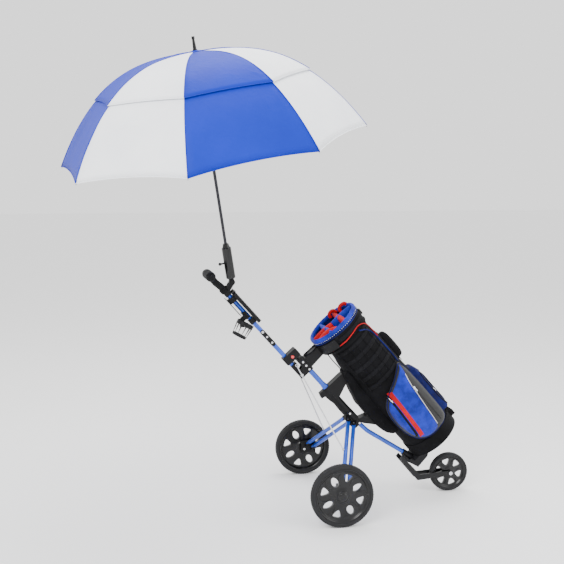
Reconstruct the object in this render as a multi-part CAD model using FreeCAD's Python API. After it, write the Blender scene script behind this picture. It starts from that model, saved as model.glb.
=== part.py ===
import FreeCAD, Part
import math
import os

# Three-wheeled golf push cart that carries a golf bag and an open, vented umbrella.
# World frame, millimetres: X forward to the front wheel, Y to the cart's left, Z up.
# The origin is on the ground, midway between the two rear wheels.
# Most of the cart is drawn in mast coordinates (n, y, t). The t direction runs up the mast
# towards the handle, n stands square to it on the bag's side, and y is the world's Y.

V = FreeCAD.Vector

# ---------------------------------------------------------------- driving dimensions
LEAN = 48.0                 # the mast's angle above the ground, degrees
WHEELBASE = 660.0           # rear axle line to front axle
TRACK = 720.0               # between the middles of the rear tyres
REAR_R = 145.0              # rear wheel radius
REAR_TYRE_W = 40.0
FRONT_R = 97.0              # front wheel radius
FRONT_TYRE_W = 34.0
AXLE_R = 6.0

MAST_N = 385.0              # the mast line's distance from the origin
MAST_R = 17.0               # lower, wide stretch of the main tube
MAST_NECK_R = 12.5          # upper, narrow stretch of the main tube
TUBE_WALL = 1.6
HUB_T = 178.0               # the hub's middle along the mast
MAST_TOP_T = 596.0
NECK_T = 400.0              # where the main tube narrows
NECK_TAPER = 26.0

HANDLE_N = 340.0            # line of the folding handle
HANDLE_R = 11.0
FOLD_T = 533.0              # fold pivot
LINK_T = 819.0              # height hinge of the handle
HANDLE_TOP_T = 1102.0
CLAMP_T = 612.0             # foot of the clamp block on the handle
CLAMP_LENGTH = 43.0

LEG_R = 10.0
LEG_PIVOT_Y = 26.0
LEG_PIVOT_N = 357.0
LEG_PIVOT_T = 206.0
LEG_STEP = V(28, 0, -20)    # from each rear leg tube to its twin
LEG_EYE = 8.0               # thickness of the flattened tube ends
LEG_PIN_R = 4.0
ROD_R = 3.0
ROD_SHARE = 0.5             # where the fold rods meet the legs, from the hub outwards

BAG_MOUTH_T = 624.0
BAG_LENGTH = 794.0
BAG_BACK_N = 486.0          # the side of the bag next to the mast
BAG_DEPTH = 262.0           # across n, at the collar
BAG_WIDTH = 242.0           # across y, at the collar
BAG_WALL = 4.0
RIM_HEIGHT = 30.0
BASE_HEIGHT = 66.0
BASE_WALL = 5.0
BACK_PAD_N = BAG_BACK_N - 44    # face of the hip pad next to the mast
BACK_PAD_HALF = 66.0
BACK_PAD_FOOT_T = 0.0
BACK_PAD_BEND_T = 230.0         # above this the pad thins out towards the bag
BACK_PAD_TOP_T = 402.0
BACK_PAD_TOP_N = BAG_BACK_N + 2

CONSOLE_WIDTH = 84.0
CONSOLE_LENGTH = 218.0
CONSOLE_FOOT_T = 872.0
CUP_R = 37.0                # inside the drink holder's ring
CUP_DEPTH = 72.0
CUP_WALL = 4.0
CUP_LEAN = 28.0             # the drink holder's own lean, degrees

SHAFT_R = 7.0               # umbrella shaft
SHAFT_LENGTH = 1046.0       # from the holder's pivot to the canopy's top
CANOPY_R = 694.0
CANOPY_DROP = 404.0
CANOPY_CURVE = 2.85         # how late the canopy turns down
VENT_R = 480.0              # edge of the upper canopy
VENT_OVERLAP = 90.0
VENT_RISE = 9.0
CLOTH = 2.0                 # the canopy's thickness, measured down the shaft
RIBS = 8
RIB_TURN = -107.0           # first rib about the shaft, degrees
UMBRELLA_AXIS = V(-0.178, -0.153, 0.972)

# ---------------------------------------------------------------- fits and clearances
RUNNING = 0.06              # radial clearance of a turning or sliding fit
SEAT = 0.05                 # radial clearance of a tube in its socket
GAP = 0.5                   # between parts that only pass each other
SOFT_GAP = 1.0              # between cloth and the frame

TILT = LEAN - 90.0


def mast(n, y, t):
    """World point of the mast coordinates (n, y, t)."""
    lean = math.radians(LEAN)
    along = V(-math.cos(lean), 0, math.sin(lean))
    square = V(math.sin(lean), 0, math.cos(lean))
    return square * n + V(0, y, 0) + along * t


def on_mast(shape):
    """Turn a shape drawn in mast coordinates into the world frame."""
    placed = shape.copy()
    placed.rotate(V(0, 0, 0), V(0, 1, 0), TILT)
    return placed


def save(node, shape):
    shape.exportStep(os.path.join("parts", node + ".step"))


def cylinder(radius, start, end):
    return Part.makeCylinder(radius, (end - start).Length, start, end - start)


def cone(r_start, r_end, start, end):
    return Part.makeCone(r_start, r_end, (end - start).Length, start, end - start)


def tube(radius, wall, start, end):
    along = (end - start).normalize()
    bore = cylinder(radius - wall, start - along, end + along)
    return cylinder(radius, start, end).cut(bore)


def block(n0, n1, y0, y1, t0, t1):
    return Part.makeBox(n1 - n0, y1 - y0, t1 - t0, V(n0, y0, t0))


def plate(points, y0, y1):
    """A plate with its outline given as (n, t) points, between y0 and y1."""
    corners = [V(n, y0, t) for n, t in points]
    outline = Part.makePolygon(corners + corners[:1])
    return Part.Face(outline).extrude(V(0, y1 - y0, 0))


def pin(n, t, radius, half, head_r=0.0, head=0.0):
    """A pin across the cart, with a head at each end when head_r is given."""
    body = cylinder(radius, V(n, -half, t), V(n, half, t))
    if head_r:
        body = body.fuse(cylinder(head_r, V(n, -half - head, t), V(n, -half, t)))
        body = body.fuse(cylinder(head_r, V(n, half, t), V(n, half + head, t)))
    return body


def drill(n, t, radius, half):
    return cylinder(radius, V(n, -half, t), V(n, half, t))


def fuse(shapes):
    joined = shapes[0]
    for shape in shapes[1:]:
        joined = joined.fuse(shape)
    return joined.removeSplitter()


def softened(shape, radius, pick):
    """Round the edges that pick(edge) accepts."""
    return shape.makeFillet(radius, [edge for edge in shape.Edges if pick(edge)])


def straight_along(axis):
    """Test for straight edges that run along a direction."""
    def test(edge):
        if not isinstance(edge.Curve, Part.Line):
            return False
        ends = edge.Vertexes[-1].Point - edge.Vertexes[0].Point
        return abs(abs(ends.normalize().dot(axis)) - 1) < 1e-6
    return test


def bent_path(points, radii):
    """A wire of straight runs joined by tangent arcs at the inner points."""
    edges = []
    start = points[0]
    for before, corner, after, radius in zip(points, points[1:], points[2:], radii):
        back = (before - corner).normalize()
        ahead = (after - corner).normalize()
        half_turn = math.acos(max(-1.0, min(1.0, back.dot(ahead)))) / 2
        reach = radius / math.tan(half_turn)
        enter = corner + back * reach
        leave = corner + ahead * reach
        middle_way = (back + ahead).normalize()
        middle = corner + middle_way * (radius / math.sin(half_turn) - radius)
        edges.append(Part.LineSegment(start, enter).toShape())
        edges.append(Part.Arc(enter, middle, leave).toShape())
        start = leave
    edges.append(Part.LineSegment(start, points[-1]).toShape())
    return Part.Wire(edges)


def swept(path, radius, start, ahead):
    ring = Part.Wire(Part.makeCircle(radius, start, ahead))
    return path.makePipeShell([ring], True, True)


def bent_rod(points, radii, radius):
    path = bent_path(points, radii)
    return swept(path, radius, points[0], points[1] - points[0])


def bent_tube(points, radii, radius, wall):
    path = bent_path(points, radii)
    ahead = points[1] - points[0]
    outer = swept(path, radius, points[0], ahead)
    return outer.cut(swept(path, radius - wall, points[0], ahead))


def oval(n, t, half_n, half_y):
    """An ellipse in the plane square to the mast, centred at (n, 0, t)."""
    flip = half_y > half_n
    major = max(half_n, half_y)
    curve = Part.Ellipse(V(0, 0, 0), major, min(half_n, half_y))
    edge = curve.toShape()
    if flip:
        edge.rotate(V(0, 0, 0), V(0, 0, 1), 90)
    edge.translate(V(n, 0, t))
    return Part.Wire(edge)


def oval_loft(stations):
    return Part.makeLoft([oval(*station) for station in stations], True, True)


# ---------------------------------------------------------------- main tube and hub
MAST_FOOT_T = HUB_T + 10
SOCKET_TOP_T = HUB_T + 54
SOCKET_R = MAST_R + 5
BRACE_TOP_T = NECK_T
BLOCK_HALF = MAST_NECK_R + 5


def main_tube():
    lower = tube(MAST_R, TUBE_WALL, V(MAST_N, 0, MAST_FOOT_T), V(MAST_N, 0, NECK_T))
    neck = V(MAST_N, 0, NECK_T)
    neck_top = V(MAST_N, 0, NECK_T + NECK_TAPER)
    taper = cone(MAST_R, MAST_NECK_R, neck, neck_top)
    taper = taper.cut(cone(MAST_R - TUBE_WALL, MAST_NECK_R - TUBE_WALL, neck, neck_top))
    upper = tube(MAST_NECK_R, TUBE_WALL, neck_top, V(MAST_N, 0, MAST_TOP_T))
    solid = fuse([lower, taper, upper])
    for n, t in bracket_rivet_places() + hub_rivet_places():
        solid = solid.cut(drill(n, t, RIVET_R + SEAT, 40))
    return on_mast(solid)


FRONT_TUBE_R = 11.0
FRONT_FOOT_T = HUB_T - 13
CROWN = V(WHEELBASE - 205, 0, 93 + FRONT_R)      # where the front tube ends, world


def mast_point(world):
    """Mast coordinates of a world point, as a vector (n, y, t)."""
    turn = FreeCAD.Rotation(V(0, 1, 0), -TILT)
    return turn.multVec(world)


def front_tube_points():
    end = mast_point(CROWN)
    return [V(MAST_N, 0, FRONT_FOOT_T), V(MAST_N + 8, 0, HUB_T - 92), end]


def front_tube():
    solid = bent_tube(front_tube_points(), [90.0], FRONT_TUBE_R, TUBE_WALL)
    for n, t in hub_rivet_places():
        solid = solid.cut(drill(n, t, RIVET_R + SEAT, 40))
    return on_mast(solid)


def leg_points(side):
    """Hub end and wheel end of the upper leg tube on one side (+1 left, -1 right)."""
    inner = mast(LEG_PIVOT_N, side * LEG_PIVOT_Y, LEG_PIVOT_T)
    outer = V(18, side * (TRACK / 2 - 48), REAR_R + 33)
    return inner, outer


def leg_way(side):
    """Direction of a leg, from the hub out to its wheel."""
    inner, outer = leg_points(side)
    return (outer - inner).normalize()


def leg_pin_way(side):
    """Direction of a leg's pins: the upright, made square to the leg."""
    along = leg_way(side)
    return (V(0, 0, 1) - along * along.z).normalize()


EYE_R = LEG_R
CHEEK = 4.5
PLUG_START = EYE_R + 6


def leg_tube(side, twin):
    """A rear leg tube with a flattened eye at each end."""
    inner, outer = leg_points(side)
    inner = inner + LEG_STEP * twin
    outer = outer + LEG_STEP * twin
    along = leg_way(side)
    pin_way = leg_pin_way(side)
    pieces = [cylinder(LEG_R, inner + along * PLUG_START, outer - along * PLUG_START)]
    for eye, into in ((inner, along), (outer, along * -1)):
        low = eye - pin_way * (LEG_EYE / 2)
        high = eye + pin_way * (LEG_EYE / 2)
        pieces.append(cylinder(EYE_R, low, high))
        neck = Part.makeBox(PLUG_START + 4, 2 * EYE_R - 2, LEG_EYE)
        frame = FreeCAD.Rotation(into, pin_way.cross(into), pin_way, "ZXY")
        corner = low - pin_way.cross(into) * (EYE_R - 1)
        neck.Placement = FreeCAD.Placement(corner, frame)
        pieces.append(neck)
    solid = fuse(pieces)
    reach = pin_way * LEG_EYE
    for eye in (inner, outer):
        solid = solid.cut(cylinder(LEG_PIN_R + RUNNING, eye - reach, eye + reach))
    return solid


def clevis(side, centres, back_way, depth):
    """Cheeks round the pins at centres, slotted for the leg eyes.

    back_way points from the pins into the piece that carries them."""
    pin_way = leg_pin_way(side)
    half = LEG_EYE / 2 + CHEEK + 1
    width = EYE_R + 2
    solids = []
    slots = []
    bores = []
    for centre in centres:
        low = centre - pin_way * half
        solids.append(cylinder(width, low, centre + pin_way * half))
        root = Part.makeBox(depth, 2 * width, 2 * half)
        frame = FreeCAD.Rotation(back_way, pin_way.cross(back_way), pin_way, "ZXY")
        root.Placement = FreeCAD.Placement(low - pin_way.cross(back_way) * width, frame)
        solids.append(root)
        slot_half = LEG_EYE / 2 + GAP
        slot_low = centre - pin_way * slot_half
        slots.append(cylinder(EYE_R + 1.5, slot_low, centre + pin_way * slot_half))
        mouth = Part.makeBox(60, 80, 2 * slot_half)
        away = back_way * -1
        frame = FreeCAD.Rotation(away, pin_way.cross(away), pin_way, "ZXY")
        mouth.Placement = FreeCAD.Placement(slot_low - pin_way.cross(away) * 40, frame)
        slots.append(mouth)
        bores.append(cylinder(LEG_PIN_R, centre - pin_way * 30, centre + pin_way * 30))
    return fuse(solids), slots, bores


HUB_HALF = 19.0
REST_N = BACK_PAD_N - GAP


def hub_block():
    """Moulded hub: sockets for the two tubes, cheeks for the legs, and a bag rest."""
    core = block(MAST_N - 37, MAST_N + 17, -HUB_HALF, HUB_HALF, HUB_T - 32, HUB_T + 34)
    socket = cylinder(SOCKET_R, V(MAST_N, 0, HUB_T), V(MAST_N, 0, SOCKET_TOP_T))
    rest = plate([(MAST_N + 15, HUB_T - 4), (MAST_N + 15, HUB_T - 34), (REST_N, HUB_T - 88),
                  (REST_N, HUB_T - 20)], -24, 24)
    body = on_mast(fuse([core, socket, rest]))
    cuts = []
    for side in (1, -1):
        inner = leg_points(side)[0]
        centres = [inner, inner + LEG_STEP]
        joined, slots, bores = clevis(side, centres, leg_way(side) * -1, 22)
        body = body.fuse(joined)
        cuts += slots + bores
    middle = on_mast(cylinder(MAST_R + SEAT, V(MAST_N, 0, MAST_FOOT_T),
                              V(MAST_N, 0, SOCKET_TOP_T + 5)))
    cuts.append(middle)
    path = front_tube_points()
    cuts.append(on_mast(cylinder(FRONT_TUBE_R + SEAT, path[0], path[1])))
    for n, t in hub_rivet_places():
        cuts.append(on_mast(drill(n, t, RIVET_R + SEAT, 60)))
    for cut in cuts:
        body = body.cut(cut)
    return body.removeSplitter()


RIVET_R = 2.6
RIVET_HEAD_R = 5.0
RIVET_HEAD = 2.0


def hub_rivet_places():
    return [(MAST_N, SOCKET_TOP_T - 9), (MAST_N + 4, HUB_T - 26)]


# ---------------------------------------------------------------- folding bracket and bag saddles
PLATE_GAP = 0.6
BRACKET_IN = BLOCK_HALF + PLATE_GAP
BRACKET_PLATE = 4.0
BRACKET_OUT = BRACKET_IN + BRACKET_PLATE
LUG_R = 12.0
LUG_HALF = BRACKET_IN - GAP
FOLD_PIN_R = 4.0
COLLAR_CENTRE_N = BAG_BACK_N + BAG_DEPTH / 2
SADDLE_T = BAG_MOUTH_T - 84
SADDLE_HEIGHT = 46.0
SADDLE_WALL = 9.0


def fold_bracket():
    """Block on the main tube's neck with two plates that reach down to the fold pivot."""
    low_t = FOLD_T - 14
    top_t = MAST_TOP_T + 6
    core = block(MAST_N - BLOCK_HALF, MAST_N + BLOCK_HALF, -BRACKET_IN, BRACKET_IN, low_t, top_t)
    outline = [(MAST_N + BLOCK_HALF, low_t), (MAST_N + BLOCK_HALF, top_t),
               (MAST_N - BLOCK_HALF, top_t), (MAST_N - BLOCK_HALF, FOLD_T + 28),
               (HANDLE_N - LUG_R, FOLD_T + 12), (HANDLE_N - LUG_R, low_t)]
    body = [core]
    for side in (1, -1):
        y0 = BRACKET_IN if side > 0 else -BRACKET_OUT
        body.append(plate(outline, y0, y0 + BRACKET_PLATE))
    strike = block(MAST_N - 9, MAST_N - 3, -5, 5, top_t - 1, CLAMP_T + 12)
    solid = fuse(body + [strike])
    solid = solid.cut(cylinder(MAST_NECK_R + SEAT, V(MAST_N, 0, low_t - 5),
                               V(MAST_N, 0, MAST_TOP_T)))
    solid = solid.cut(drill(HANDLE_N, FOLD_T, FOLD_PIN_R, 40))
    for n, t in bracket_rivet_places():
        solid = solid.cut(drill(n, t, RIVET_R + SEAT, 40))
    return on_mast(solid)


def bracket_rivet_places():
    return [(MAST_N, FOLD_T - 4), (MAST_N, FOLD_T + 20), (MAST_N, FOLD_T + 44)]


def upper_saddle():
    """Saddle bolted to the bracket that wraps the back half of the bag's collar."""
    top_t = SADDLE_T + SADDLE_HEIGHT
    inner_n = BAG_DEPTH / 2 + SOFT_GAP
    inner_y = BAG_WIDTH / 2 + SOFT_GAP
    ring = oval_loft([(COLLAR_CENTRE_N, SADDLE_T, inner_n + SADDLE_WALL, inner_y + SADDLE_WALL),
                      (COLLAR_CENTRE_N, top_t, inner_n + SADDLE_WALL, inner_y + SADDLE_WALL)])
    half_width = inner_y + SADDLE_WALL + 5
    ring = ring.common(block(0, COLLAR_CENTRE_N - 58, -half_width, half_width, SADDLE_T, top_t))
    foot_n = MAST_N + BLOCK_HALF
    neck = plate([(foot_n, SADDLE_T - 8), (foot_n, top_t), (BAG_BACK_N + 20, top_t),
                  (BAG_BACK_N + 20, SADDLE_T)], -26, 26)
    solid = fuse([ring, neck])
    bag = oval_loft([(COLLAR_CENTRE_N, SADDLE_T - 5, inner_n, inner_y),
                     (COLLAR_CENTRE_N, top_t + 5, inner_n, inner_y)])
    return on_mast(solid.cut(bag))


def strap():
    """Elastic strap from arm to arm of the saddle, round the front of the collar."""
    low_t = SADDLE_T + 14
    top_t = low_t + 18
    inner_n = BAG_DEPTH / 2 + SOFT_GAP
    inner_y = BAG_WIDTH / 2 + SOFT_GAP
    band = oval_loft([(COLLAR_CENTRE_N, low_t, inner_n + 3, inner_y + 3),
                      (COLLAR_CENTRE_N, top_t, inner_n + 3, inner_y + 3)])
    band = band.cut(oval_loft([(COLLAR_CENTRE_N, low_t - 5, inner_n, inner_y),
                               (COLLAR_CENTRE_N, top_t + 5, inner_n, inner_y)]))
    wide = BAG_WIDTH
    return on_mast(band.common(block(COLLAR_CENTRE_N - 58, COLLAR_CENTRE_N + BAG_DEPTH,
                                     -wide, wide, low_t, top_t)))


def pad_face(t):
    """Where the hip pad's sloping upper stretch faces the mast."""
    share = (t - BACK_PAD_BEND_T) / (BACK_PAD_TOP_T - BACK_PAD_BEND_T)
    return BACK_PAD_N + (BACK_PAD_TOP_N - BACK_PAD_N) * share


def support_brace():
    """Moulded brace on the main tube, with a curved web, a stowage peg and a bag pad."""
    foot_t = SOCKET_TOP_T + 2
    web = plate([(MAST_N, foot_t), (MAST_N, BRACE_TOP_T), (HANDLE_N + 2, BRACE_TOP_T),
                 (HANDLE_N - 6, BRACE_TOP_T - 26), (HANDLE_N + 12, BRACE_TOP_T - 30),
                 (MAST_N - 26, foot_t + 70), (MAST_N - 26, foot_t)], -13, 13)
    hollow = cylinder(120, V(MAST_N - 144, -20, foot_t + 66), V(MAST_N - 144, 20, foot_t + 66))
    web = web.cut(hollow)
    pad_foot_t = BRACE_TOP_T - 50
    pad = plate([(MAST_N, BRACE_TOP_T - 84), (MAST_N, BRACE_TOP_T),
                 (pad_face(BRACE_TOP_T) - GAP, BRACE_TOP_T),
                 (pad_face(pad_foot_t) - GAP, pad_foot_t)], -22, 22)
    sleeve = cylinder(MAST_R + 4, V(MAST_N, 0, foot_t), V(MAST_N, 0, BRACE_TOP_T))
    solid = fuse([web, pad, sleeve])
    return on_mast(solid.cut(cylinder(MAST_R + SEAT, V(MAST_N, 0, foot_t - 5),
                                      V(MAST_N, 0, BRACE_TOP_T + 5))))


# ---------------------------------------------------------------- front bracket, fork and wheel axle
BASE_T = BAG_MOUTH_T - BAG_LENGTH
FORK_IN = FRONT_TYRE_W / 2 + 5
FORK_PLATE = 7.0
FRONT_AXLE = V(WHEELBASE, 0, FRONT_R)


SLEEVE_BACK = 44.0          # how far the bracket's sleeve reaches up the front tube
SLEEVE_AHEAD = 14.0
SHELF_HALF = 62.0
SHELF_PLATE = 6.0


def lower_bracket():
    """Cast bracket on the end of the front tube, with the shelf that the bag stands on."""
    end = mast_point(CROWN)
    along = (end - front_tube_points()[1]).normalize()
    start = end - along * SLEEVE_BACK
    sleeve = cylinder(FRONT_TUBE_R + 4, start, end + along * SLEEVE_AHEAD)
    shelf_top = BASE_T - GAP
    shelf = block(end.x - 4, COLLAR_CENTRE_N + 20, -SHELF_HALF, SHELF_HALF,
                  shelf_top - SHELF_PLATE, shelf_top)
    web = plate([(start.x - 6, start.z - 6), (start.x - 6, shelf_top), (COLLAR_CENTRE_N - 12, shelf_top),
                 (end.x + 62, end.z - 58), (end.x - 8, end.z - 66), (start.x - 22, start.z - 34)],
                -FORK_IN, FORK_IN)
    solid = fuse([sleeve, shelf, web])
    bore = cylinder(FRONT_TUBE_R + SEAT, start - along * 60, end)
    bag = barrel(BASE_OVER + SOFT_GAP, BASE_T - GAP, BASE_T + 200)
    return on_mast(solid.cut(bore).cut(bag))


def front_fork():
    """Two bent arms from the bracket's cheeks to the wheel's axle."""
    axle = FRONT_AXLE
    arms = []
    for side in (1, -1):
        y0 = FORK_IN + GAP / 10 if side > 0 else -FORK_IN - GAP / 10 - FORK_PLATE
        outline = [V(CROWN.x - 62, y0, CROWN.z - 8), V(CROWN.x - 48, y0, CROWN.z + 8),
                   V(CROWN.x + 46, y0, CROWN.z - 92), V(axle.x, y0, axle.z + 12),
                   V(axle.x, y0, axle.z - 12), V(CROWN.x + 34, y0, CROWN.z - 120)]
        face = Part.Face(Part.makePolygon(outline + outline[:1]))
        arm = face.extrude(V(0, FORK_PLATE, 0))
        arms.append(arm.fuse(cylinder(12, V(axle.x, y0, axle.z), V(axle.x, y0 + FORK_PLATE, axle.z))))
    bore = cylinder(AXLE_R, axle - V(0, 60, 0), axle + V(0, 60, 0))
    return Part.makeCompound([arm.cut(bore).removeSplitter() for arm in arms])


def front_axle():
    half = FORK_IN + FORK_PLATE + 1
    axle = FRONT_AXLE
    body = cylinder(AXLE_R, axle - V(0, half, 0), axle + V(0, half, 0))
    head = cylinder(9, axle - V(0, half + 5, 0), axle - V(0, half, 0))
    nut = cylinder(9, axle + V(0, half, 0), axle + V(0, half + 6, 0))
    return fuse([body, head, nut])


# ---------------------------------------------------------------- wheels
def wheel_disc(centre, radius, tyre_w, hub_r, windows, sides):
    """Spoked disc with its rim, hub and bearing bore; windows open between the spokes."""
    rim_out = radius * 0.86
    rim_in = rim_out - 9
    half = tyre_w / 2 - 4
    along = V(0, 1, 0)
    body = cylinder(rim_out, centre - along * half, centre + along * half)
    well = cylinder(rim_in, centre - along * (half + 1), centre - along * 7)
    other = cylinder(rim_in, centre + along * 7, centre + along * (half + 1))
    body = body.cut(well).cut(other)
    hub = cylinder(hub_r, centre - along * (half + 2), centre + along * (half + 2))
    body = body.fuse(hub)
    reach = rim_in - 8
    near = hub_r + 8
    for index in range(windows):
        turn = 360.0 * index / windows
        wide = sides[index % len(sides)]
        hole = plate([(near, -wide * 0.45), (reach, -wide), (reach, wide), (near, wide * 0.45)], -9, 9)
        hole.rotate(V(0, 0, 0), V(0, 1, 0), -turn)
        hole.translate(centre)
        body = body.cut(hole)
    bore = cylinder(AXLE_R + RUNNING, centre - along * 40, centre + along * 40)
    return body.cut(bore).removeSplitter()


def tyre(centre, radius, width):
    """Solid tyre with a rounded tread, seated on the rim."""
    inner = radius * 0.86 + SEAT
    half = width / 2
    crown = radius
    shoulder = 7.0
    points = [(inner, -half + 3), (crown - shoulder, -half), (crown - 1.5, -half + shoulder)]
    mirrored = [(r, -w) for r, w in reversed(points)]
    arc = Part.Arc(V(points[2][0], points[2][1], 0), V(crown, 0, 0), V(points[2][0], -points[2][1], 0))
    edges = []
    for first, second in zip(points, points[1:]):
        edges.append(Part.LineSegment(V(first[0], first[1], 0), V(second[0], second[1], 0)).toShape())
    edges.append(arc.toShape())
    for first, second in zip(mirrored, mirrored[1:] + points[:1]):
        edges.append(Part.LineSegment(V(first[0], first[1], 0), V(second[0], second[1], 0)).toShape())
    ring = Part.Face(Part.Wire(edges)).revolve(V(0, 0, 0), V(0, 1, 0), 360)
    ring.translate(centre)
    return ring


def rear_centre(side):
    return V(0, side * TRACK / 2, REAR_R)


BRACKET_FACE_Y = TRACK / 2 - REAR_TYRE_W / 2 - 6


def wheel_bracket(side):
    """Bracket between a pair of leg tubes and the wheel axle."""
    outer = leg_points(side)[1]
    centres = [outer, outer + LEG_STEP]
    joined, slots, bores = clevis(side, centres, leg_way(side), 20)
    face = side * BRACKET_FACE_Y
    back = side * (BRACKET_FACE_Y - 16)
    low = min(face, back)
    web = Part.makeBox(78, 16, 62, V(-18, low, REAR_R - 18))
    boss = cylinder(18, V(0, back, REAR_R), V(0, face, REAR_R))
    solid = fuse([joined, web, boss])
    beyond = Part.makeBox(300, 60, 300, V(-120, face if side > 0 else face - 60, 0))
    solid = solid.cut(beyond)
    for cut in slots + bores:
        solid = solid.cut(cut)
    axle = cylinder(AXLE_R, V(0, 0, REAR_R), V(0, side * TRACK, REAR_R))
    return solid.cut(axle).removeSplitter()


def rear_axle(side):
    inner = side * (BRACKET_FACE_Y - 16)
    outer = side * (TRACK / 2 + REAR_TYRE_W / 2)
    start = V(0, inner, REAR_R)
    end = V(0, outer, REAR_R)
    cap = V(0, side * 4, 0)
    return fuse([cylinder(AXLE_R, start, end), cylinder(10, end, end + cap)])


def leg_pins():
    """Steel pins of the hub's four leg pivots."""
    solids = []
    for side in (1, -1):
        inner = leg_points(side)[0]
        pin_way = leg_pin_way(side)
        half = LEG_EYE / 2 + CHEEK
        for centre in (inner, inner + LEG_STEP):
            solids.append(cylinder(LEG_PIN_R, centre - pin_way * half, centre + pin_way * half))
    return solids


def frame_pins():
    solids = leg_pins()
    solids.append(on_mast(pin(HANDLE_N, FOLD_T, FOLD_PIN_R, BRACKET_OUT, 7, 2.5)))
    for n, t in hub_rivet_places():
        half = SOCKET_R if t > HUB_T else HUB_HALF
        solids.append(on_mast(pin(n, t, RIVET_R, half, RIVET_HEAD_R, RIVET_HEAD)))
    for n, t in bracket_rivet_places():
        solids.append(on_mast(pin(n, t, RIVET_R, BRACKET_OUT, RIVET_HEAD_R, RIVET_HEAD)))
    return Part.makeCompound(solids)


# ---------------------------------------------------------------- fold rods
ROD_TOP_N = HANDLE_N + 12
ROD_TOP_T = FOLD_T + 55
ROD_TOP_Y = LUG_HALF + 5
ROD_BALL_R = 3.5


def rod_ends(side):
    inner, outer = leg_points(side)
    along = leg_way(side)
    seat = inner + (outer - inner) * ROD_SHARE
    top = mast(ROD_TOP_N, side * ROD_TOP_Y, ROD_TOP_T)
    rise = top - seat
    square = (rise - along * rise.dot(along)).normalize()
    return top, seat + square * (LEG_R + ROD_R + 4)


def fold_rod(side):
    """Steel rod that ties the folding handle to a rear leg."""
    top, foot = rod_ends(side)
    down = (foot - top).normalize()
    rod = cylinder(ROD_R, top + down * (ROD_BALL_R + 1), foot)
    half = V(0, 2.5, 0)
    eye = cylinder(ROD_BALL_R + 3, top - half, top + half)
    foot_eye = Part.makeSphere(ROD_R + 2.5, foot)
    solid = fuse([rod, eye, foot_eye])
    return solid.cut(cylinder(ROD_BALL_R + RUNNING, top - half * 2, top + half * 2))


# ---------------------------------------------------------------- lower handle
LOWER_TUBE_FOOT_T = FOLD_T + 19
LOWER_TUBE_TOP_T = LINK_T - 17
CLAMP_HALF = 22.0
CLAMP_TOP_T = CLAMP_T + CLAMP_LENGTH


def handle_lug():
    """Nylon knuckle on the foot of the handle, turning on the fold pin."""
    top_t = ROD_TOP_T + 10
    knuckle = cylinder(LUG_R, V(HANDLE_N, -LUG_HALF, FOLD_T), V(HANDLE_N, LUG_HALF, FOLD_T))
    stem = block(HANDLE_N - LUG_R, HANDLE_N + LUG_R, -LUG_HALF, LUG_HALF, FOLD_T, top_t)
    ears = block(ROD_TOP_N - 8, ROD_TOP_N + 8, -LUG_HALF, LUG_HALF, ROD_TOP_T - 10, top_t)
    solid = fuse([knuckle, stem, ears])
    solid = solid.cut(drill(HANDLE_N, FOLD_T, FOLD_PIN_R + RUNNING, 40))
    socket = cylinder(HANDLE_R + SEAT, V(HANDLE_N, 0, LOWER_TUBE_FOOT_T), V(HANDLE_N, 0, top_t + 5))
    solid = solid.cut(socket)
    for side in (1, -1):
        ball = V(ROD_TOP_N, side * ROD_TOP_Y, ROD_TOP_T)
        root = V(ROD_TOP_N, side * (LUG_HALF - 4), ROD_TOP_T)
        stud = cylinder(2, root, ball).fuse(Part.makeSphere(ROD_BALL_R, ball, V(0, side, 0)))
        solid = solid.fuse(stud)
    return on_mast(solid.removeSplitter())


def handle_tube_lower():
    solid = tube(HANDLE_R, TUBE_WALL, V(HANDLE_N, 0, LOWER_TUBE_FOOT_T), V(HANDLE_N, 0, LOWER_TUBE_TOP_T))
    for t in link_rivet_places():
        solid = solid.cut(drill(HANDLE_N, t, RIVET_R + SEAT, 40))
    return on_mast(solid)


BUTTON_N = HANDLE_N + 25
BUTTON_T = CLAMP_T + 20
BUTTON_R = 7.5
BUTTON_STEM_R = 3.5
BUTTON_TRAVEL = 4.0
BUTTON_PROUD = 5.0
BUTTON_HEAD = 8.0


def clamp_block():
    """Lock block that the handle tube passes through, with the button's bore."""
    low_n = HANDLE_N - HANDLE_R - 8
    solid = block(low_n, MAST_N + 18, -CLAMP_HALF, CLAMP_HALF, CLAMP_T, CLAMP_TOP_T)
    solid = softened(solid, 6, straight_along(V(0, 1, 0)))
    solid = solid.cut(cylinder(HANDLE_R + SEAT, V(HANDLE_N, 0, CLAMP_T - 5),
                               V(HANDLE_N, 0, CLAMP_TOP_T + 5)))
    pocket_top = CLAMP_T + 15
    solid = solid.cut(block(MAST_N - 13, MAST_N + 30, -7, 7, CLAMP_T - 5, pocket_top))
    face = V(BUTTON_N, -CLAMP_HALF, BUTTON_T)
    recess = BUTTON_HEAD + BUTTON_TRAVEL - BUTTON_PROUD + GAP
    solid = solid.cut(cylinder(BUTTON_R + 2 * RUNNING, face - V(0, 1, 0), face + V(0, recess, 0)))
    stem_end = V(BUTTON_N, -4, BUTTON_T)
    solid = solid.cut(cylinder(BUTTON_STEM_R + RUNNING, face, stem_end))
    return on_mast(solid)


def fold_button():
    face = V(BUTTON_N, -CLAMP_HALF, BUTTON_T)
    outer = face - V(0, BUTTON_PROUD, 0)
    inner = outer + V(0, BUTTON_HEAD, 0)
    head = cylinder(BUTTON_R, outer, inner)
    head = softened(head, 1.5, lambda edge: edge.CenterOfMass.y < outer.y + 0.1)
    stem = cylinder(BUTTON_STEM_R, inner, V(BUTTON_N, -9, BUTTON_T))
    return on_mast(fuse([head, stem]))


LINK_PLATE = 3.0
LINK_HALF = HANDLE_R + 0.3
LINK_PIN_R = 4.0


def link_rivet_places():
    return [LINK_T - 69, LINK_T - 32]


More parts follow.
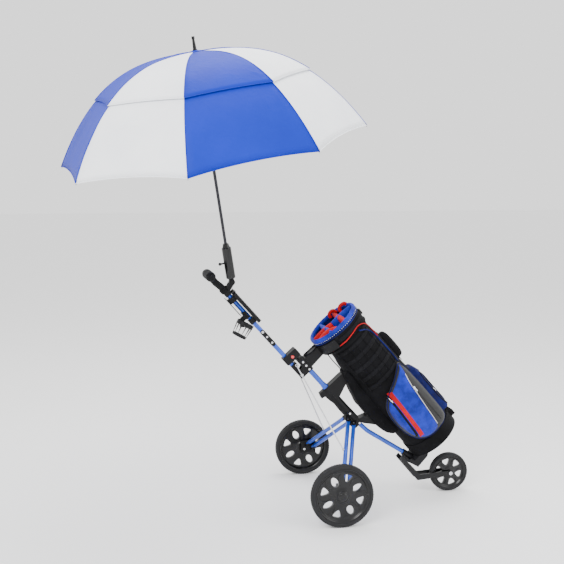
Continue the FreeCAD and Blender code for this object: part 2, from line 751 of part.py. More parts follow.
def link_plates():
    """Two side plates, riveted to the lower tube, that carry the height hinge."""
    solids = []
    for side in (1, -1):
        y0 = LINK_HALF if side > 0 else -LINK_HALF - LINK_PLATE
        low_t = LINK_T - 78
        low = cylinder(HANDLE_R, V(HANDLE_N, y0, low_t), V(HANDLE_N, y0 + LINK_PLATE, low_t))
        high = cylinder(HANDLE_R, V(HANDLE_N, y0, LINK_T), V(HANDLE_N, y0 + LINK_PLATE, LINK_T))
        middle = block(HANDLE_N - HANDLE_R, HANDLE_N + HANDLE_R, y0, y0 + LINK_PLATE, low_t, LINK_T)
        solid = fuse([low, high, middle])
        solid = solid.cut(drill(HANDLE_N, LINK_T, LINK_PIN_R, 40))
        for t in link_rivet_places():
            solid = solid.cut(drill(HANDLE_N, t, RIVET_R, 40))
        solids.append(on_mast(solid))
    return Part.makeCompound(solids)


def link_pins():
    half = LINK_HALF + LINK_PLATE
    solids = [on_mast(pin(HANDLE_N, LINK_T, LINK_PIN_R, half, 6.5, 2.5))]
    for t in link_rivet_places():
        solids.append(on_mast(pin(HANDLE_N, t, RIVET_R, half, RIVET_HEAD_R, RIVET_HEAD)))
    return Part.makeCompound(solids)


# ---------------------------------------------------------------- upper handle
GRIP_NECK_T = HANDLE_TOP_T - 22
GRIP_BAR_R = 23.0
GRIP_BAR_HALF = 62.0
GRIP_BAR = V(HANDLE_N - 6, 0, HANDLE_TOP_T + 90)


def handle_tube_upper():
    knuckle = cylinder(HANDLE_R - GAP, V(HANDLE_N, -HANDLE_R + GAP / 2, LINK_T),
                       V(HANDLE_N, HANDLE_R - GAP / 2, LINK_T))
    foot = LINK_T + HANDLE_R
    solid_foot = cylinder(HANDLE_R - GAP, V(HANDLE_N, 0, LINK_T), V(HANDLE_N, 0, foot + 6))
    upper = tube(HANDLE_R, TUBE_WALL, V(HANDLE_N, 0, foot + 6), V(HANDLE_N, 0, HANDLE_TOP_T))
    plug = cylinder(HANDLE_R, V(HANDLE_N, 0, foot + 4), V(HANDLE_N, 0, foot + 10))
    solid = fuse([knuckle, solid_foot, upper, plug])
    return on_mast(solid.cut(drill(HANDLE_N, LINK_T, LINK_PIN_R + RUNNING, 40)))


GRIP_COLLAR_R = HANDLE_R + 8


def grip():
    """Soft hand grip: a neck over the tube's end that swells into a short cross bar."""
    low = V(HANDLE_N, 0, GRIP_NECK_T)
    top = V(HANDLE_N, 0, HANDLE_TOP_T + 26)
    collar = cylinder(GRIP_COLLAR_R, low, low + V(0, 0, 24))
    neck = cone(HANDLE_R + 5, HANDLE_R + 3, low, top)
    rise = bent_rod([top - V(0, 0, 22), top + V(-6, 0, 16), GRIP_BAR], [30], GRIP_BAR_R - 7)
    bar_end = V(0, GRIP_BAR_HALF, 0)
    bar = cylinder(GRIP_BAR_R, GRIP_BAR - bar_end, GRIP_BAR + bar_end)
    ends = [Part.makeSphere(GRIP_BAR_R, GRIP_BAR + bar_end * side) for side in (1, -1)]
    solid = fuse([collar, neck, rise, bar] + ends)
    solid = solid.cut(cylinder(HANDLE_R + SEAT, low - V(0, 0, 5), V(HANDLE_N, 0, HANDLE_TOP_T)))
    return on_mast(solid)


TRAY_FLOOR_N = HANDLE_N + HANDLE_R + 4
TRAY_RIM_N = TRAY_FLOOR_N + 14
TRAY_WALL = 2.4
LID = 2.6
LID_AXIS_N = TRAY_RIM_N + 3.0
LID_AXIS_T = CONSOLE_FOOT_T + CONSOLE_LENGTH - 30
LID_KNUCKLE_R = 3.6
LID_ROD_R = 1.6


def console_tray():
    """Open tray over the handle with two saddles round the tube and a card shelf below."""
    half = CONSOLE_WIDTH / 2
    top_t = LID_AXIS_T - 7
    tray = block(TRAY_FLOOR_N, TRAY_RIM_N, -half, half, CONSOLE_FOOT_T, top_t)
    hollow = block(TRAY_FLOOR_N + TRAY_WALL, TRAY_RIM_N + 5, -half + TRAY_WALL, half - TRAY_WALL,
                   CONSOLE_FOOT_T + TRAY_WALL, top_t - TRAY_WALL)
    tray = tray.cut(hollow)
    pieces = [tray]
    for t in (CONSOLE_FOOT_T + 8, top_t - 34):
        pieces.append(block(HANDLE_N - HANDLE_R - 4, TRAY_FLOOR_N + 1, -17, 17, t, t + 26))
    shelf_n = HANDLE_N - HANDLE_R - 14
    shelf_foot = CONSOLE_FOOT_T + 78
    pieces.append(block(shelf_n, shelf_n + 3, -32, 32, shelf_foot, top_t + 4))
    pieces.append(block(shelf_n, HANDLE_N - HANDLE_R - 3, -10, 10, top_t - 34, top_t - 8))
    for side in (1, -1):
        y0 = side * 26 - 5
        ear = plate([(TRAY_FLOOR_N, top_t - 1), (TRAY_FLOOR_N, LID_AXIS_T + 3),
                     (LID_AXIS_N + 3, LID_AXIS_T + 3), (LID_AXIS_N + 3, LID_AXIS_T - 4),
                     (TRAY_RIM_N - 2, top_t - 1)], y0, y0 + 10)
        pieces.append(ear)
    solid = fuse(pieces)
    solid = solid.cut(cylinder(HANDLE_R + SEAT, V(HANDLE_N, 0, CONSOLE_FOOT_T - 5),
                               V(HANDLE_N, 0, top_t + 5)))
    return on_mast(solid.cut(drill(LID_AXIS_N, LID_AXIS_T, LID_ROD_R + RUNNING, half)))


def console_lid():
    """Clear lid with a hinge rod that turns in the tray's ears."""
    half = CONSOLE_WIDTH / 2
    low_n = TRAY_RIM_N + GAP
    sheet = block(low_n, low_n + LID, -half, half, CONSOLE_FOOT_T, LID_AXIS_T - 8)
    rod = drill(LID_AXIS_N, LID_AXIS_T, LID_ROD_R, 38)
    arms = []
    for y0, y1 in ((-38, -32), (-6, 6), (32, 38)):
        start = V(LID_AXIS_N, y0, LID_AXIS_T)
        arms.append(cylinder(LID_KNUCKLE_R, start, start + V(0, y1 - y0, 0)))
        arms.append(block(low_n, low_n + LID, y0, y1, LID_AXIS_T - 9, LID_AXIS_T))
    return on_mast(fuse([sheet, rod] + arms))


CUP_PIVOT = V(-398, -24, 896)
CUP_TOP_R = CUP_R + CUP_WALL
CUP_FLOOR_R = 30.0
CUP_DRAIN_R = 10.0
CUP_HUB_R = 10.0
CUP_HUB_LENGTH = 12.0
CUP_STUD_R = 5.0
CUP_OFFSET = V(9, -58, 0)        # from the pivot to the middle of the ring


def cup_frame(shape):
    """Place a shape drawn with its Z axis up the drink holder and the ring at the origin."""
    placed = shape.copy()
    placed.rotate(V(0, 0, 0), V(0, 1, 0), CUP_LEAN)
    placed.translate(CUP_PIVOT + CUP_OFFSET)
    return placed


def cup_holder():
    """Open basket for a drink, with its ring, windows, floor and the arm to its pivot."""
    ring = tube(CUP_TOP_R, CUP_WALL, V(0, 0, -14), V(0, 0, 0))
    body = cone(CUP_TOP_R, CUP_FLOOR_R + CUP_WALL, V(0, 0, -14), V(0, 0, -CUP_DEPTH)).removeSplitter()
    inner = cone(CUP_R, CUP_FLOOR_R, V(0, 0, -14), V(0, 0, -CUP_DEPTH + 5))
    body = body.cut(inner)
    basket = fuse([ring, body])
    window = Part.makeBox(120, 34, CUP_DEPTH - 30, V(-60, -17, -CUP_DEPTH + 12))
    for turn in (30, 90, 150):
        cut = window.copy()
        cut.rotate(V(0, 0, 0), V(0, 0, 1), turn)
        basket = basket.cut(cut)
    drain = cylinder(CUP_DRAIN_R, V(0, 0, -CUP_DEPTH - 5), V(0, 0, 0))
    basket = cup_frame(basket.cut(drain))
    hub = cylinder(CUP_HUB_R, CUP_PIVOT - V(0, CUP_HUB_LENGTH, 0), CUP_PIVOT)
    arm = Part.makeBox(18, 34, 20, CUP_PIVOT + V(-10, -34, -28))
    rise = Part.makeBox(14, CUP_HUB_LENGTH, 24, CUP_PIVOT + V(-7, -CUP_HUB_LENGTH, -28))
    inside = cup_frame(cylinder(CUP_R, V(0, 0, -CUP_DEPTH), V(0, 0, 20)))
    solid = fuse([basket, hub, rise, arm.cut(inside)])
    return solid.cut(cylinder(CUP_STUD_R + RUNNING, CUP_PIVOT - V(0, 13, 0), CUP_PIVOT + V(0, 20, 0)))


def cup_bracket():
    """Saddle under the handle tube with a pivot stud for the drink holder."""
    centre = mast_point(CUP_PIVOT)
    low_t = centre.z - 16
    top_t = centre.z + 22
    saddle = block(HANDLE_N - HANDLE_R - 5, HANDLE_N + HANDLE_R - 6, -16, 16, low_t, top_t)
    cheek = block(centre.x - 10, HANDLE_N - HANDLE_R + 2, centre.y + GAP, centre.y + 14,
                  centre.z - 11, centre.z + 11)
    saddle = on_mast(fuse([saddle, cheek]).cut(
        cylinder(HANDLE_R + SEAT, V(HANDLE_N, 0, low_t - 5), V(HANDLE_N, 0, top_t + 5))))
    stud = cylinder(CUP_STUD_R, CUP_PIVOT - V(0, 14, 0), CUP_PIVOT + V(0, 6, 0))
    head = cylinder(CUP_STUD_R + 3, CUP_PIVOT - V(0, 16, 0), CUP_PIVOT - V(0, CUP_HUB_LENGTH + GAP, 0))
    return fuse([saddle, stud, head])


# ---------------------------------------------------------------- umbrella and its holder
HOLDER_PIVOT = V(-442, 0, 1076)
HOLDER_R = 22.0
HOLDER_FOOT = 20.0
HOLDER_TOP = 170.0
HOLDER_CAP_TOP = 188.0
KNUCKLE_R = 15.0
KNUCKLE_HALF = 10.0
SCREW_HEIGHT = 96.0
SCREW_R = 4.0
SCREW_BALL_R = 7.5


def umbrella_turn():
    axis = V(UMBRELLA_AXIS).normalize()
    across = V(1, 0, -axis.x / axis.z).normalize()
    return FreeCAD.Rotation(across, axis.cross(across), axis, "ZXY")


def on_umbrella(shape):
    """Place a shape drawn with Z up the shaft and the holder's pivot at the origin."""
    placed = shape.copy()
    placed.Placement = FreeCAD.Placement(HOLDER_PIVOT, umbrella_turn()).multiply(placed.Placement)
    return placed


def holder_body():
    """Socket for the umbrella's shaft on a knuckle that tilts fore and aft."""
    sleeve = cylinder(HOLDER_R, V(0, 0, HOLDER_FOOT), V(0, 0, HOLDER_TOP))
    sleeve = softened(sleeve, 4, lambda edge: isinstance(edge.Curve, Part.Circle))
    cap = cone(HOLDER_R - 4, SHAFT_R + 6, V(0, 0, HOLDER_TOP - 1), V(0, 0, HOLDER_CAP_TOP))
    solid = on_umbrella(fuse([sleeve, cap]))
    pivot = HOLDER_PIVOT
    knuckle = cylinder(KNUCKLE_R, pivot - V(0, KNUCKLE_HALF, 0), pivot + V(0, KNUCKLE_HALF, 0))
    stem = on_umbrella(Part.makeBox(24, 2 * KNUCKLE_HALF - 4, HOLDER_FOOT + 6,
                                    V(-12, -KNUCKLE_HALF + 2, 0)))
    solid = fuse([solid, stem, knuckle])
    socket = on_umbrella(cylinder(SHAFT_R + RUNNING, V(0, 0, HOLDER_FOOT + 6),
                                  V(0, 0, HOLDER_CAP_TOP + 5)))
    screw = on_umbrella(cylinder(SCREW_R + RUNNING, V(-SHAFT_R - 1, 0, SCREW_HEIGHT),
                                 V(-HOLDER_R - 5, 0, SCREW_HEIGHT)))
    pin_hole = cylinder(FOLD_PIN_R + RUNNING, pivot - V(0, 30, 0), pivot + V(0, 30, 0))
    return solid.cut(socket).cut(screw).cut(pin_hole).removeSplitter()


def holder_screw():
    """Thumbscrew with a ball end that clamps the shaft."""
    outer = -HOLDER_R - 14
    stem = cylinder(SCREW_R, V(-SHAFT_R - 1.2, 0, SCREW_HEIGHT), V(outer, 0, SCREW_HEIGHT))
    ball = Part.makeSphere(SCREW_BALL_R, V(outer - 5, 0, SCREW_HEIGHT))
    return on_umbrella(fuse([stem, ball]))


def holder_base():
    """Fork on the handle's end that carries the holder's knuckle, with its pin."""
    pivot = mast_point(HOLDER_PIVOT)
    cheeks = []
    for side in (1, -1):
        y0 = KNUCKLE_HALF + GAP if side > 0 else -KNUCKLE_HALF - GAP - 4
        cheeks.append(cylinder(KNUCKLE_R - 2, V(pivot.x, y0, pivot.z), V(pivot.x, y0 + 4, pivot.z)))
        low_n = HANDLE_N + HANDLE_R + 4
        cheeks.append(plate([(low_n, GRIP_NECK_T - 8), (low_n, GRIP_NECK_T + 16),
                             (pivot.x - 4, pivot.z + 12), (pivot.x + 4, pivot.z - 12)], y0, y0 + 4))
    foot = block(HANDLE_N - HANDLE_R - 4, HANDLE_N + HANDLE_R + 7, -KNUCKLE_HALF - GAP - 4,
                 KNUCKLE_HALF + GAP + 4, GRIP_NECK_T - 22, GRIP_NECK_T - GAP)
    heel = block(HANDLE_N + HANDLE_R + 2, HANDLE_N + HANDLE_R + 7, -KNUCKLE_HALF - GAP - 4,
                 KNUCKLE_HALF + GAP + 4, GRIP_NECK_T - 14, GRIP_NECK_T - GAP)
    tube_bore = cylinder(HANDLE_R + SEAT, V(HANDLE_N, 0, GRIP_NECK_T - 40),
                         V(HANDLE_N, 0, GRIP_NECK_T + 30))
    grip_room = cylinder(GRIP_COLLAR_R + GAP, V(HANDLE_N, 0, GRIP_NECK_T - GAP),
                         V(HANDLE_N, 0, GRIP_NECK_T + 40))
    solid = fuse(cheeks + [foot, heel]).cut(tube_bore).cut(grip_room)
    bolt = pin(pivot.x, pivot.z, FOLD_PIN_R, KNUCKLE_HALF + GAP + 4, 7, 2.5)
    return on_mast(fuse([solid, bolt]))


def canopy_drop(radius):
    return CANOPY_DROP * (radius / CANOPY_R) ** CANOPY_CURVE


def octagon(radius, height):
    corners = []
    for index in range(RIBS):
        turn = math.radians(RIB_TURN + index * 360.0 / RIBS)
        corners.append(V(radius * math.cos(turn), radius * math.sin(turn), height))
    return Part.makePolygon(corners + corners[:1])


def canopy_form(r_in, r_out, lift, steps):
    wires = []
    for step in range(steps + 1):
        radius = r_in + (r_out - r_in) * step / steps
        wires.append(octagon(radius, SHAFT_LENGTH + lift - canopy_drop(radius)))
    return Part.makeLoft(wires, True, True)


def canopy_cloth(r_in, r_out, lift, steps):
    """One layer of the canopy between two radii, as a thin eight-sided shell."""
    outer = canopy_form(r_in, r_out, lift, steps)
    inner = canopy_form(r_in, r_out, lift - CLOTH, steps)
    high = SHAFT_LENGTH + CANOPY_DROP
    core = Part.Face(octagon(r_in, -CANOPY_DROP)).extrude(V(0, 0, high + CANOPY_DROP))
    return on_umbrella(outer.cut(inner).cut(core))


def canopy():
    return canopy_cloth(VENT_R - VENT_OVERLAP, CANOPY_R, 0, 7)


def vent_canopy():
    return canopy_cloth(SHAFT_R + 5, VENT_R, VENT_RISE, 8)


RIB_R = 1.7
RIB_DEPTH = CLOTH + 2 * (RIB_R + GAP) + 1.0
RUNNER_DROP = 300.0         # the runner's distance below the canopy's top
RUNNER_WALL = 7.5
RUNNER_LENGTH = 48.0
STRUT_R = 2.0
RIB_TIP_R = 3.5
RIB_STATIONS = (SHAFT_R + 3, 260, 400, 500, 580, 640, CANOPY_R - 2)


def rib_place(radius):
    return V(radius, 0, SHAFT_LENGTH - RIB_DEPTH - canopy_drop(radius))


def spun(shape, index):
    placed = shape.copy()
    placed.rotate(V(0, 0, 0), V(0, 0, 1), RIB_TURN + index * 360.0 / RIBS)
    return on_umbrella(placed)


def umbrella_ribs():
    """Eight sprung ribs under the cloth, each with a small tip."""
    points = [rib_place(radius) for radius in RIB_STATIONS]
    rib = bent_rod(points, [300, 300, 250, 200, 150], RIB_R)
    ahead = (points[-1] - points[-2]).normalize()
    tip = Part.makeSphere(RIB_TIP_R, points[-1] + ahead * 2, ahead)
    rib = rib.fuse(tip)
    return Part.makeCompound([spun(rib, index) for index in range(RIBS)])


def umbrella_stretchers():
    """Eight struts from the runner out to the ribs."""
    start = V(SHAFT_R + 10, 0, SHAFT_LENGTH - RUNNER_DROP)
    end = (rib_place(RIB_STATIONS[1]) + rib_place(RIB_STATIONS[2])) * 0.5
    end = end - V(0, 0, RIB_R + STRUT_R + 0.8)
    strut = cylinder(STRUT_R, start, end)
    return Part.makeCompound([spun(strut, index) for index in range(RIBS)])


def umbrella_shaft():
    return on_umbrella(tube(SHAFT_R, 1.2, V(0, 0, HOLDER_FOOT + 7), V(0, 0, SHAFT_LENGTH - 1)))


def umbrella_runner():
    """Sliding collar that holds the struts."""
    level = SHAFT_LENGTH - RUNNER_DROP
    collar = tube(SHAFT_R + RUNNER_WALL, RUNNER_WALL - RUNNING, V(0, 0, level - RUNNER_LENGTH + 8),
                  V(0, 0, level + 8))
    return on_umbrella(collar)


def umbrella_ferrule():
    base = SHAFT_LENGTH
    collar = cylinder(11, V(0, 0, base + VENT_RISE + GAP), V(0, 0, base + VENT_RISE + 9))
    stem = cylinder(SHAFT_R, V(0, 0, base), V(0, 0, base + 20))
    spike = cone(8.5, 5.5, V(0, 0, base + VENT_RISE + 9), V(0, 0, base + 62))
    tip = cylinder(7, V(0, 0, base + 62), V(0, 0, base + 74))
    return on_umbrella(fuse([collar, stem, spike, tip]))


# ---------------------------------------------------------------- golf bag
BAG_N = COLLAR_CENTRE_N
NECK_DIP = 0.86             # the bag's waist under the collar, as a share of the collar
RIM_T = BAG_MOUTH_T - RIM_HEIGHT
COLLAR_FOOT_T = SADDLE_T - 12
POUCH_HALF = 56.0
PADDED_WALL = BAG_WALL + 6  # the bag's wall with the cuff's padding inside
DIVIDER_HALF = 6.0
DIVIDER_STEP = 42.0         # from the bag's axis to each cross bar
NEAR_POCKET_DEPTH = 44.0
FAR_POCKET_DEPTH = 38.0
BASE_OVER = 5.0


def barrel(grow, low_t, top_t):
    """The bag's body, grown by a margin and kept between two heights."""
    half_n = BAG_DEPTH / 2 + grow
    half_y = BAG_WIDTH / 2 + grow
    waist_t = COLLAR_FOOT_T - 26
    stations = [(BAG_N, BASE_T - 5, half_n, half_y),
                (BAG_N + 4, COLLAR_FOOT_T - 240, half_n - 3, half_y - 3),
                (BAG_N + 10, waist_t, half_n * NECK_DIP, half_y * NECK_DIP),
                (BAG_N, COLLAR_FOOT_T, half_n, half_y)]
    lower = oval_loft(stations)
    collar = oval_loft([(BAG_N, COLLAR_FOOT_T, half_n, half_y),
                        (BAG_N, BAG_MOUTH_T + 5, half_n, half_y)])
    wide = BAG_DEPTH + BAG_WIDTH
    keep = block(0, BAG_N + wide, -wide, wide, low_t, top_t)
    return lower.fuse(collar).common(keep).removeSplitter()


def bag_shell():
    """Body of the bag: open at the mouth, closed at the foot."""
    outer = barrel(0, BASE_T + BASE_WALL, RIM_T)
    hollow = barrel(-BAG_WALL, BASE_T + BASE_WALL + BAG_WALL, BAG_MOUTH_T)
    return on_mast(outer.cut(hollow))


def bag_rim():
    """Padded cuff round the mouth, seated on the body's upper edge."""
    outer = barrel(3, RIM_T, BAG_MOUTH_T)
    return on_mast(outer.cut(barrel(-PADDED_WALL, RIM_T - 5, BAG_MOUTH_T + 5)))


def bag_dividers():
    """Padded bars across the mouth that part the clubs."""
    low_t = RIM_T - 34
    top_t = BAG_MOUTH_T - 4
    wide = BAG_DEPTH
    bars = [block(BAG_N - wide, BAG_N + wide, -DIVIDER_HALF - 1, DIVIDER_HALF + 1, low_t, top_t)]
    for offset in (-DIVIDER_STEP, DIVIDER_STEP):
        bars.append(block(BAG_N + offset - DIVIDER_HALF, BAG_N + offset + DIVIDER_HALF, -wide, wide,
                          low_t, top_t))
    room = barrel(-PADDED_WALL - GAP, low_t, top_t)
    return on_mast(fuse(bars).common(room))


def bag_base():
    """Moulded base cup with a foot on its front edge."""
    top_t = BASE_T + BASE_HEIGHT
    cup = barrel(BASE_OVER, BASE_T, top_t)
    foot = block(BAG_N + BAG_DEPTH / 2 - 4, BAG_N + BAG_DEPTH / 2 + 24, -34, 34, BASE_T + 22, BASE_T + 50)
    solid = cup.fuse(foot).cut(barrel(GAP, BASE_T + BASE_WALL, top_t + 5))
    return on_mast(solid.removeSplitter())


def side_pocket(side):
    """Stuffed pocket on the bag's flank."""
    depth = NEAR_POCKET_DEPTH if side < 0 else FAR_POCKET_DEPTH
    outer_y = BAG_WIDTH / 2 + depth
    low_t = BASE_T + BASE_HEIGHT + GAP
    outline = [(BAG_N - 84, low_t + 66), (BAG_N - 34, low_t), (BAG_N + 84, low_t),
               (BAG_N + 118, low_t + 24), (BAG_N + 118, low_t + 340), (BAG_N + 104, low_t + 384),
               (BAG_N + 78, low_t + 384), (BAG_N - 84, low_t + 196)]
    y0 = POUCH_HALF + 2 if side > 0 else -outer_y
    solid = plate(outline, y0, y0 + outer_y - POUCH_HALF - 2)
    solid = softened(solid, 16, lambda edge: lies_at(edge, outer_y))
    return on_mast(solid.cut(barrel(GAP, BASE_T, BAG_MOUTH_T)))


def lies_at(edge, y):
    return all(abs(abs(corner.Point.y) - y) < 0.1 for corner in edge.Vertexes)


def front_pouch():
    """Pouch on the bag's upper face."""
    low_t = BASE_T + BASE_HEIGHT + GAP
    solid = block(BAG_N + 60, BAG_N + BAG_DEPTH / 2 + 28,
                  -POUCH_HALF, POUCH_HALF, low_t, low_t + 300)
    solid = softened(solid, 22, lambda edge: edge.CenterOfMass.x > BAG_N + BAG_DEPTH / 2 + 27)
    return on_mast(solid.cut(barrel(GAP, BASE_T, BAG_MOUTH_T)))


def back_pad():
    """Hip pad between the bag and the mast."""
    deep = BAG_N - 60
    outline = [(deep, BACK_PAD_FOOT_T), (BACK_PAD_N + 24, BACK_PAD_FOOT_T),
               (BACK_PAD_N, BACK_PAD_FOOT_T + 62), (BACK_PAD_N, BACK_PAD_BEND_T),
               (BACK_PAD_TOP_N, BACK_PAD_TOP_T), (deep, BACK_PAD_TOP_T)]
    solid = plate(outline, -BACK_PAD_HALF, BACK_PAD_HALF)
    solid = softened(solid, 12, lambda edge: lies_at(edge, BACK_PAD_HALF)
                     and edge.CenterOfMass.x < deep - 10)
    return on_mast(solid.cut(barrel(GAP, BASE_T, BAG_MOUTH_T)))


GRAB_T = BASE_T + 430
GRAB_LENGTH = 150.0


def grab_handle():
    """Padded carrying handle that bows clear of the bag's upper face."""
    face_n = BAG_N + BAG_DEPTH / 2 - 6
    low = V(face_n, 0, GRAB_T)
    high = V(face_n, 0, GRAB_T + GRAB_LENGTH)
    out = V(46, 0, 0)
    bar = bent_rod([low, low + out + V(0, 0, 14), high + out - V(0, 0, 14), high], [34, 34], 10)
    return on_mast(bar.cut(barrel(GAP, BASE_T, BAG_MOUTH_T)))


ZIP_N = BAG_N + 70
ZIP_FOOT_T = BASE_T + BASE_HEIGHT + 60


def zip_pull():
    """Slider and pull tab of the near pocket's zip."""
    face_y = -(BAG_WIDTH / 2 + NEAR_POCKET_DEPTH) - GAP / 2
    top_t = ZIP_FOOT_T + 210
    slider = block(ZIP_N - 4, ZIP_N + 4, face_y - 3, face_y, top_t - 10, top_t)
    tab = block(ZIP_N - 2.5, ZIP_N + 2.5, face_y - 4.5, face_y - 3, top_t - 30, top_t - 2)
    return on_mast(fuse([slider, tab]))


# ---------------------------------------------------------------- build
def build():
    os.makedirs("parts", exist_ok=True)
    single = {
        "main_tube": main_tube, "hub_block": hub_block, "front_tube": front_tube,
        "fold_bracket": fold_bracket, "upper_saddle": upper_saddle, "bag_strap": strap,
        "support_brace": support_brace, "lower_bracket": lower_bracket, "front_fork": front_fork,
        "front_axle": front_axle, "frame_pins": frame_pins,
        "handle_lug": handle_lug, "handle_tube_lower": handle_tube_lower,
        "clamp_block": clamp_block, "fold_button": fold_button, "link_plates": link_plates,
        "link_pins": link_pins, "handle_tube_upper": handle_tube_upper, "grip": grip,
        "console_tray": console_tray, "console_lid": console_lid, "cup_bracket": cup_bracket,
        "cup_holder": cup_holder, "holder_base": holder_base, "holder_body": holder_body,
        "holder_screw": holder_screw, "umbrella_shaft": umbrella_shaft,
        "umbrella_ferrule": umbrella_ferrule, "umbrella_runner": umbrella_runner,
        "umbrella_ribs": umbrella_ribs, "umbrella_stretchers": umbrella_stretchers,
        "canopy": canopy, "vent_canopy": vent_canopy,
        "bag_shell": bag_shell, "bag_rim": bag_rim, "bag_dividers": bag_dividers,
        "bag_base": bag_base, "front_pouch": front_pouch, "back_pad": back_pad,
        "grab_handle": grab_handle, "zip_pull": zip_pull,
    }
    for node, make in single.items():
        save(node, make())
    for name, side in (("left", 1), ("right", -1)):
        save("leg_%s_upper" % name, leg_tube(side, 0))
        save("leg_%s_lower" % name, leg_tube(side, 1))
        save("wheel_bracket_%s" % name, wheel_bracket(side))
        save("rear_axle_%s" % name, rear_axle(side))
        save("fold_rod_%s" % name, fold_rod(side))
        save("rear_disc_%s" % name, wheel_disc(rear_centre(side), REAR_R, REAR_TYRE_W, 26, 8, (15, 24)))
        save("rear_tyre_%s" % name, tyre(rear_centre(side), REAR_R, REAR_TYRE_W))
        save("side_pocket_%s" % name, side_pocket(side))
    save("front_disc", wheel_disc(FRONT_AXLE, FRONT_R, FRONT_TYRE_W, 18, 6, (17,)))
    save("front_tyre", tyre(FRONT_AXLE, FRONT_R, FRONT_TYRE_W))


build()
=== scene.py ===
import math
import bpy
import bmesh
import numpy as np
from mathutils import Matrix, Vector, noise
from mathutils.bvhtree import BVHTree


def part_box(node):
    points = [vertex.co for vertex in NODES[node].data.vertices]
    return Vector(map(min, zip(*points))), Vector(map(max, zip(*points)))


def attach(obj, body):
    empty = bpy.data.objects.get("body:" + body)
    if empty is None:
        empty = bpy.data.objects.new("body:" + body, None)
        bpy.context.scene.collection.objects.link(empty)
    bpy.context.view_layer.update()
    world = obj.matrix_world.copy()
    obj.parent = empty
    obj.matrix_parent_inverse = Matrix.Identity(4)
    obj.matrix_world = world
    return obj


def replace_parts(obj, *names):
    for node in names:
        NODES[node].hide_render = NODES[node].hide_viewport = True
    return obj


# Golf bag on a three-wheeled push cart, with an open vented umbrella.
# Lengths in this script are millimetres until a mesh is made; the world is in metres.
# Mast coordinates (n, y, t): t runs up the mast, n stands square to it on the bag's side.

bl_info = {
    "name": "Golf bag on push cart",
    "version": (1, 0, 0),
    "blender": (4, 5, 0),
    "location": "View3D > Sidebar > Golf cart",
    "description": "Builds the wheels, bag, umbrella and handle parts round the cart's frame",
    "category": "Object",
}

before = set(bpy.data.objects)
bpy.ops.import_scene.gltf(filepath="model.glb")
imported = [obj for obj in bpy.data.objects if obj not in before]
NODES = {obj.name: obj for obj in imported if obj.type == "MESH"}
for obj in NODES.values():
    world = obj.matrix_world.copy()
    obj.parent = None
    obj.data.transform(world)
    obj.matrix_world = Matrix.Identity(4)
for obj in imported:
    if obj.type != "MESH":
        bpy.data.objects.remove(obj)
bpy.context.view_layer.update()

MM = 0.001
LEAN = math.radians(48.0)
ALONG = Vector((-math.cos(LEAN), 0, math.sin(LEAN)))
SQUARE = Vector((math.sin(LEAN), 0, math.cos(LEAN)))


def mast(n, y, t):
    """World point, in metres, of mast coordinates in millimetres."""
    return (SQUARE * n + Vector((0, y, 0)) + ALONG * t) * MM


def mast_span(node):
    """Lowest and highest mast coordinates of a frame node, in millimetres."""
    points = np.array([v.co for v in NODES[node].data.vertices]) / MM
    rows = np.stack([points @ np.array(SQUARE), points[:, 1], points @ np.array(ALONG)])
    return rows.min(axis=1), rows.max(axis=1)


RIM_LOW, RIM_HIGH = mast_span("bag_rim")
RIM_T, MOUTH_T = RIM_LOW[2], RIM_HIGH[2]
BASE_T = mast_span("bag_base")[0][2]


# ---------------------------------------------------------------- settings
class CartColours(bpy.types.PropertyGroup):
    tube: bpy.props.FloatVectorProperty(name="Tube", description="Paint of the cart's tubes",
                                        subtype="COLOR", default=(0.008, 0.060, 0.42))
    bag_blue: bpy.props.FloatVectorProperty(name="Bag blue", description="Blue cloth of the bag",
                                            subtype="COLOR", default=(0.010, 0.020, 0.27))
    bag_red: bpy.props.FloatVectorProperty(name="Bag red", description="Red trim of the bag",
                                           subtype="COLOR", default=(0.45, 0.006, 0.009))
    canopy_blue: bpy.props.FloatVectorProperty(name="Canopy blue", description="Blue canopy panels",
                                               subtype="COLOR", default=(0.006, 0.022, 0.36))
    canopy_white: bpy.props.FloatVectorProperty(name="Canopy white", description="White canopy panels",
                                                subtype="COLOR", default=(0.90, 0.92, 0.97))
    black: bpy.props.FloatVectorProperty(name="Black", description="Moulded parts and black cloth",
                                         subtype="COLOR", default=(0.0022, 0.0022, 0.0028))


class CartSizes(bpy.types.PropertyGroup):
    wrinkle: bpy.props.FloatProperty(name="Wrinkle", description="Depth of the cloth's creases",
                                     subtype="DISTANCE", default=0.0016, min=0, max=0.005)
    piping: bpy.props.FloatProperty(name="Piping", description="Radius of the sewn piping",
                                    subtype="DISTANCE", default=0.0026, min=0.001, max=0.006)
    stitch: bpy.props.FloatProperty(name="Stitch pitch", description="Distance between stitches",
                                    subtype="DISTANCE", default=0.009, min=0.003, max=0.02)
    hem_pull: bpy.props.FloatProperty(name="Hem pull", description="How far the canopy's hem bows in",
                                      subtype="FACTOR", default=0.016, min=0, max=0.1)
    pressure: bpy.props.FloatProperty(name="Padding", description="Pressure that swells the padded parts",
                                      default=4.0, min=0, max=10)


# ---------------------------------------------------------------- mesh helpers
def turns(count):
    """Even angles round a full circle."""
    return [2 * math.pi * k / count for k in range(count)]


def squared(value, power):
    """A sine or cosine pushed towards its limits, for sections with flattened sides."""
    return math.copysign(abs(value) ** power, value)


def new_piece(name, points, faces, materials, face_material=None, smooth=True):
    """A mesh object at the origin; points are world metres."""
    mesh = bpy.data.meshes.new(name)
    mesh.from_pydata([tuple(p) for p in points], [], faces)
    for material in materials if isinstance(materials, (list, tuple)) else [materials]:
        mesh.materials.append(material)
    if face_material is not None:
        mesh.polygons.foreach_set("material_index", face_material)
    mesh.polygons.foreach_set("use_smooth", [smooth] * len(mesh.polygons))
    mesh.update()
    piece = bpy.data.objects.new(name, mesh)
    bpy.context.scene.collection.objects.link(piece)
    return piece


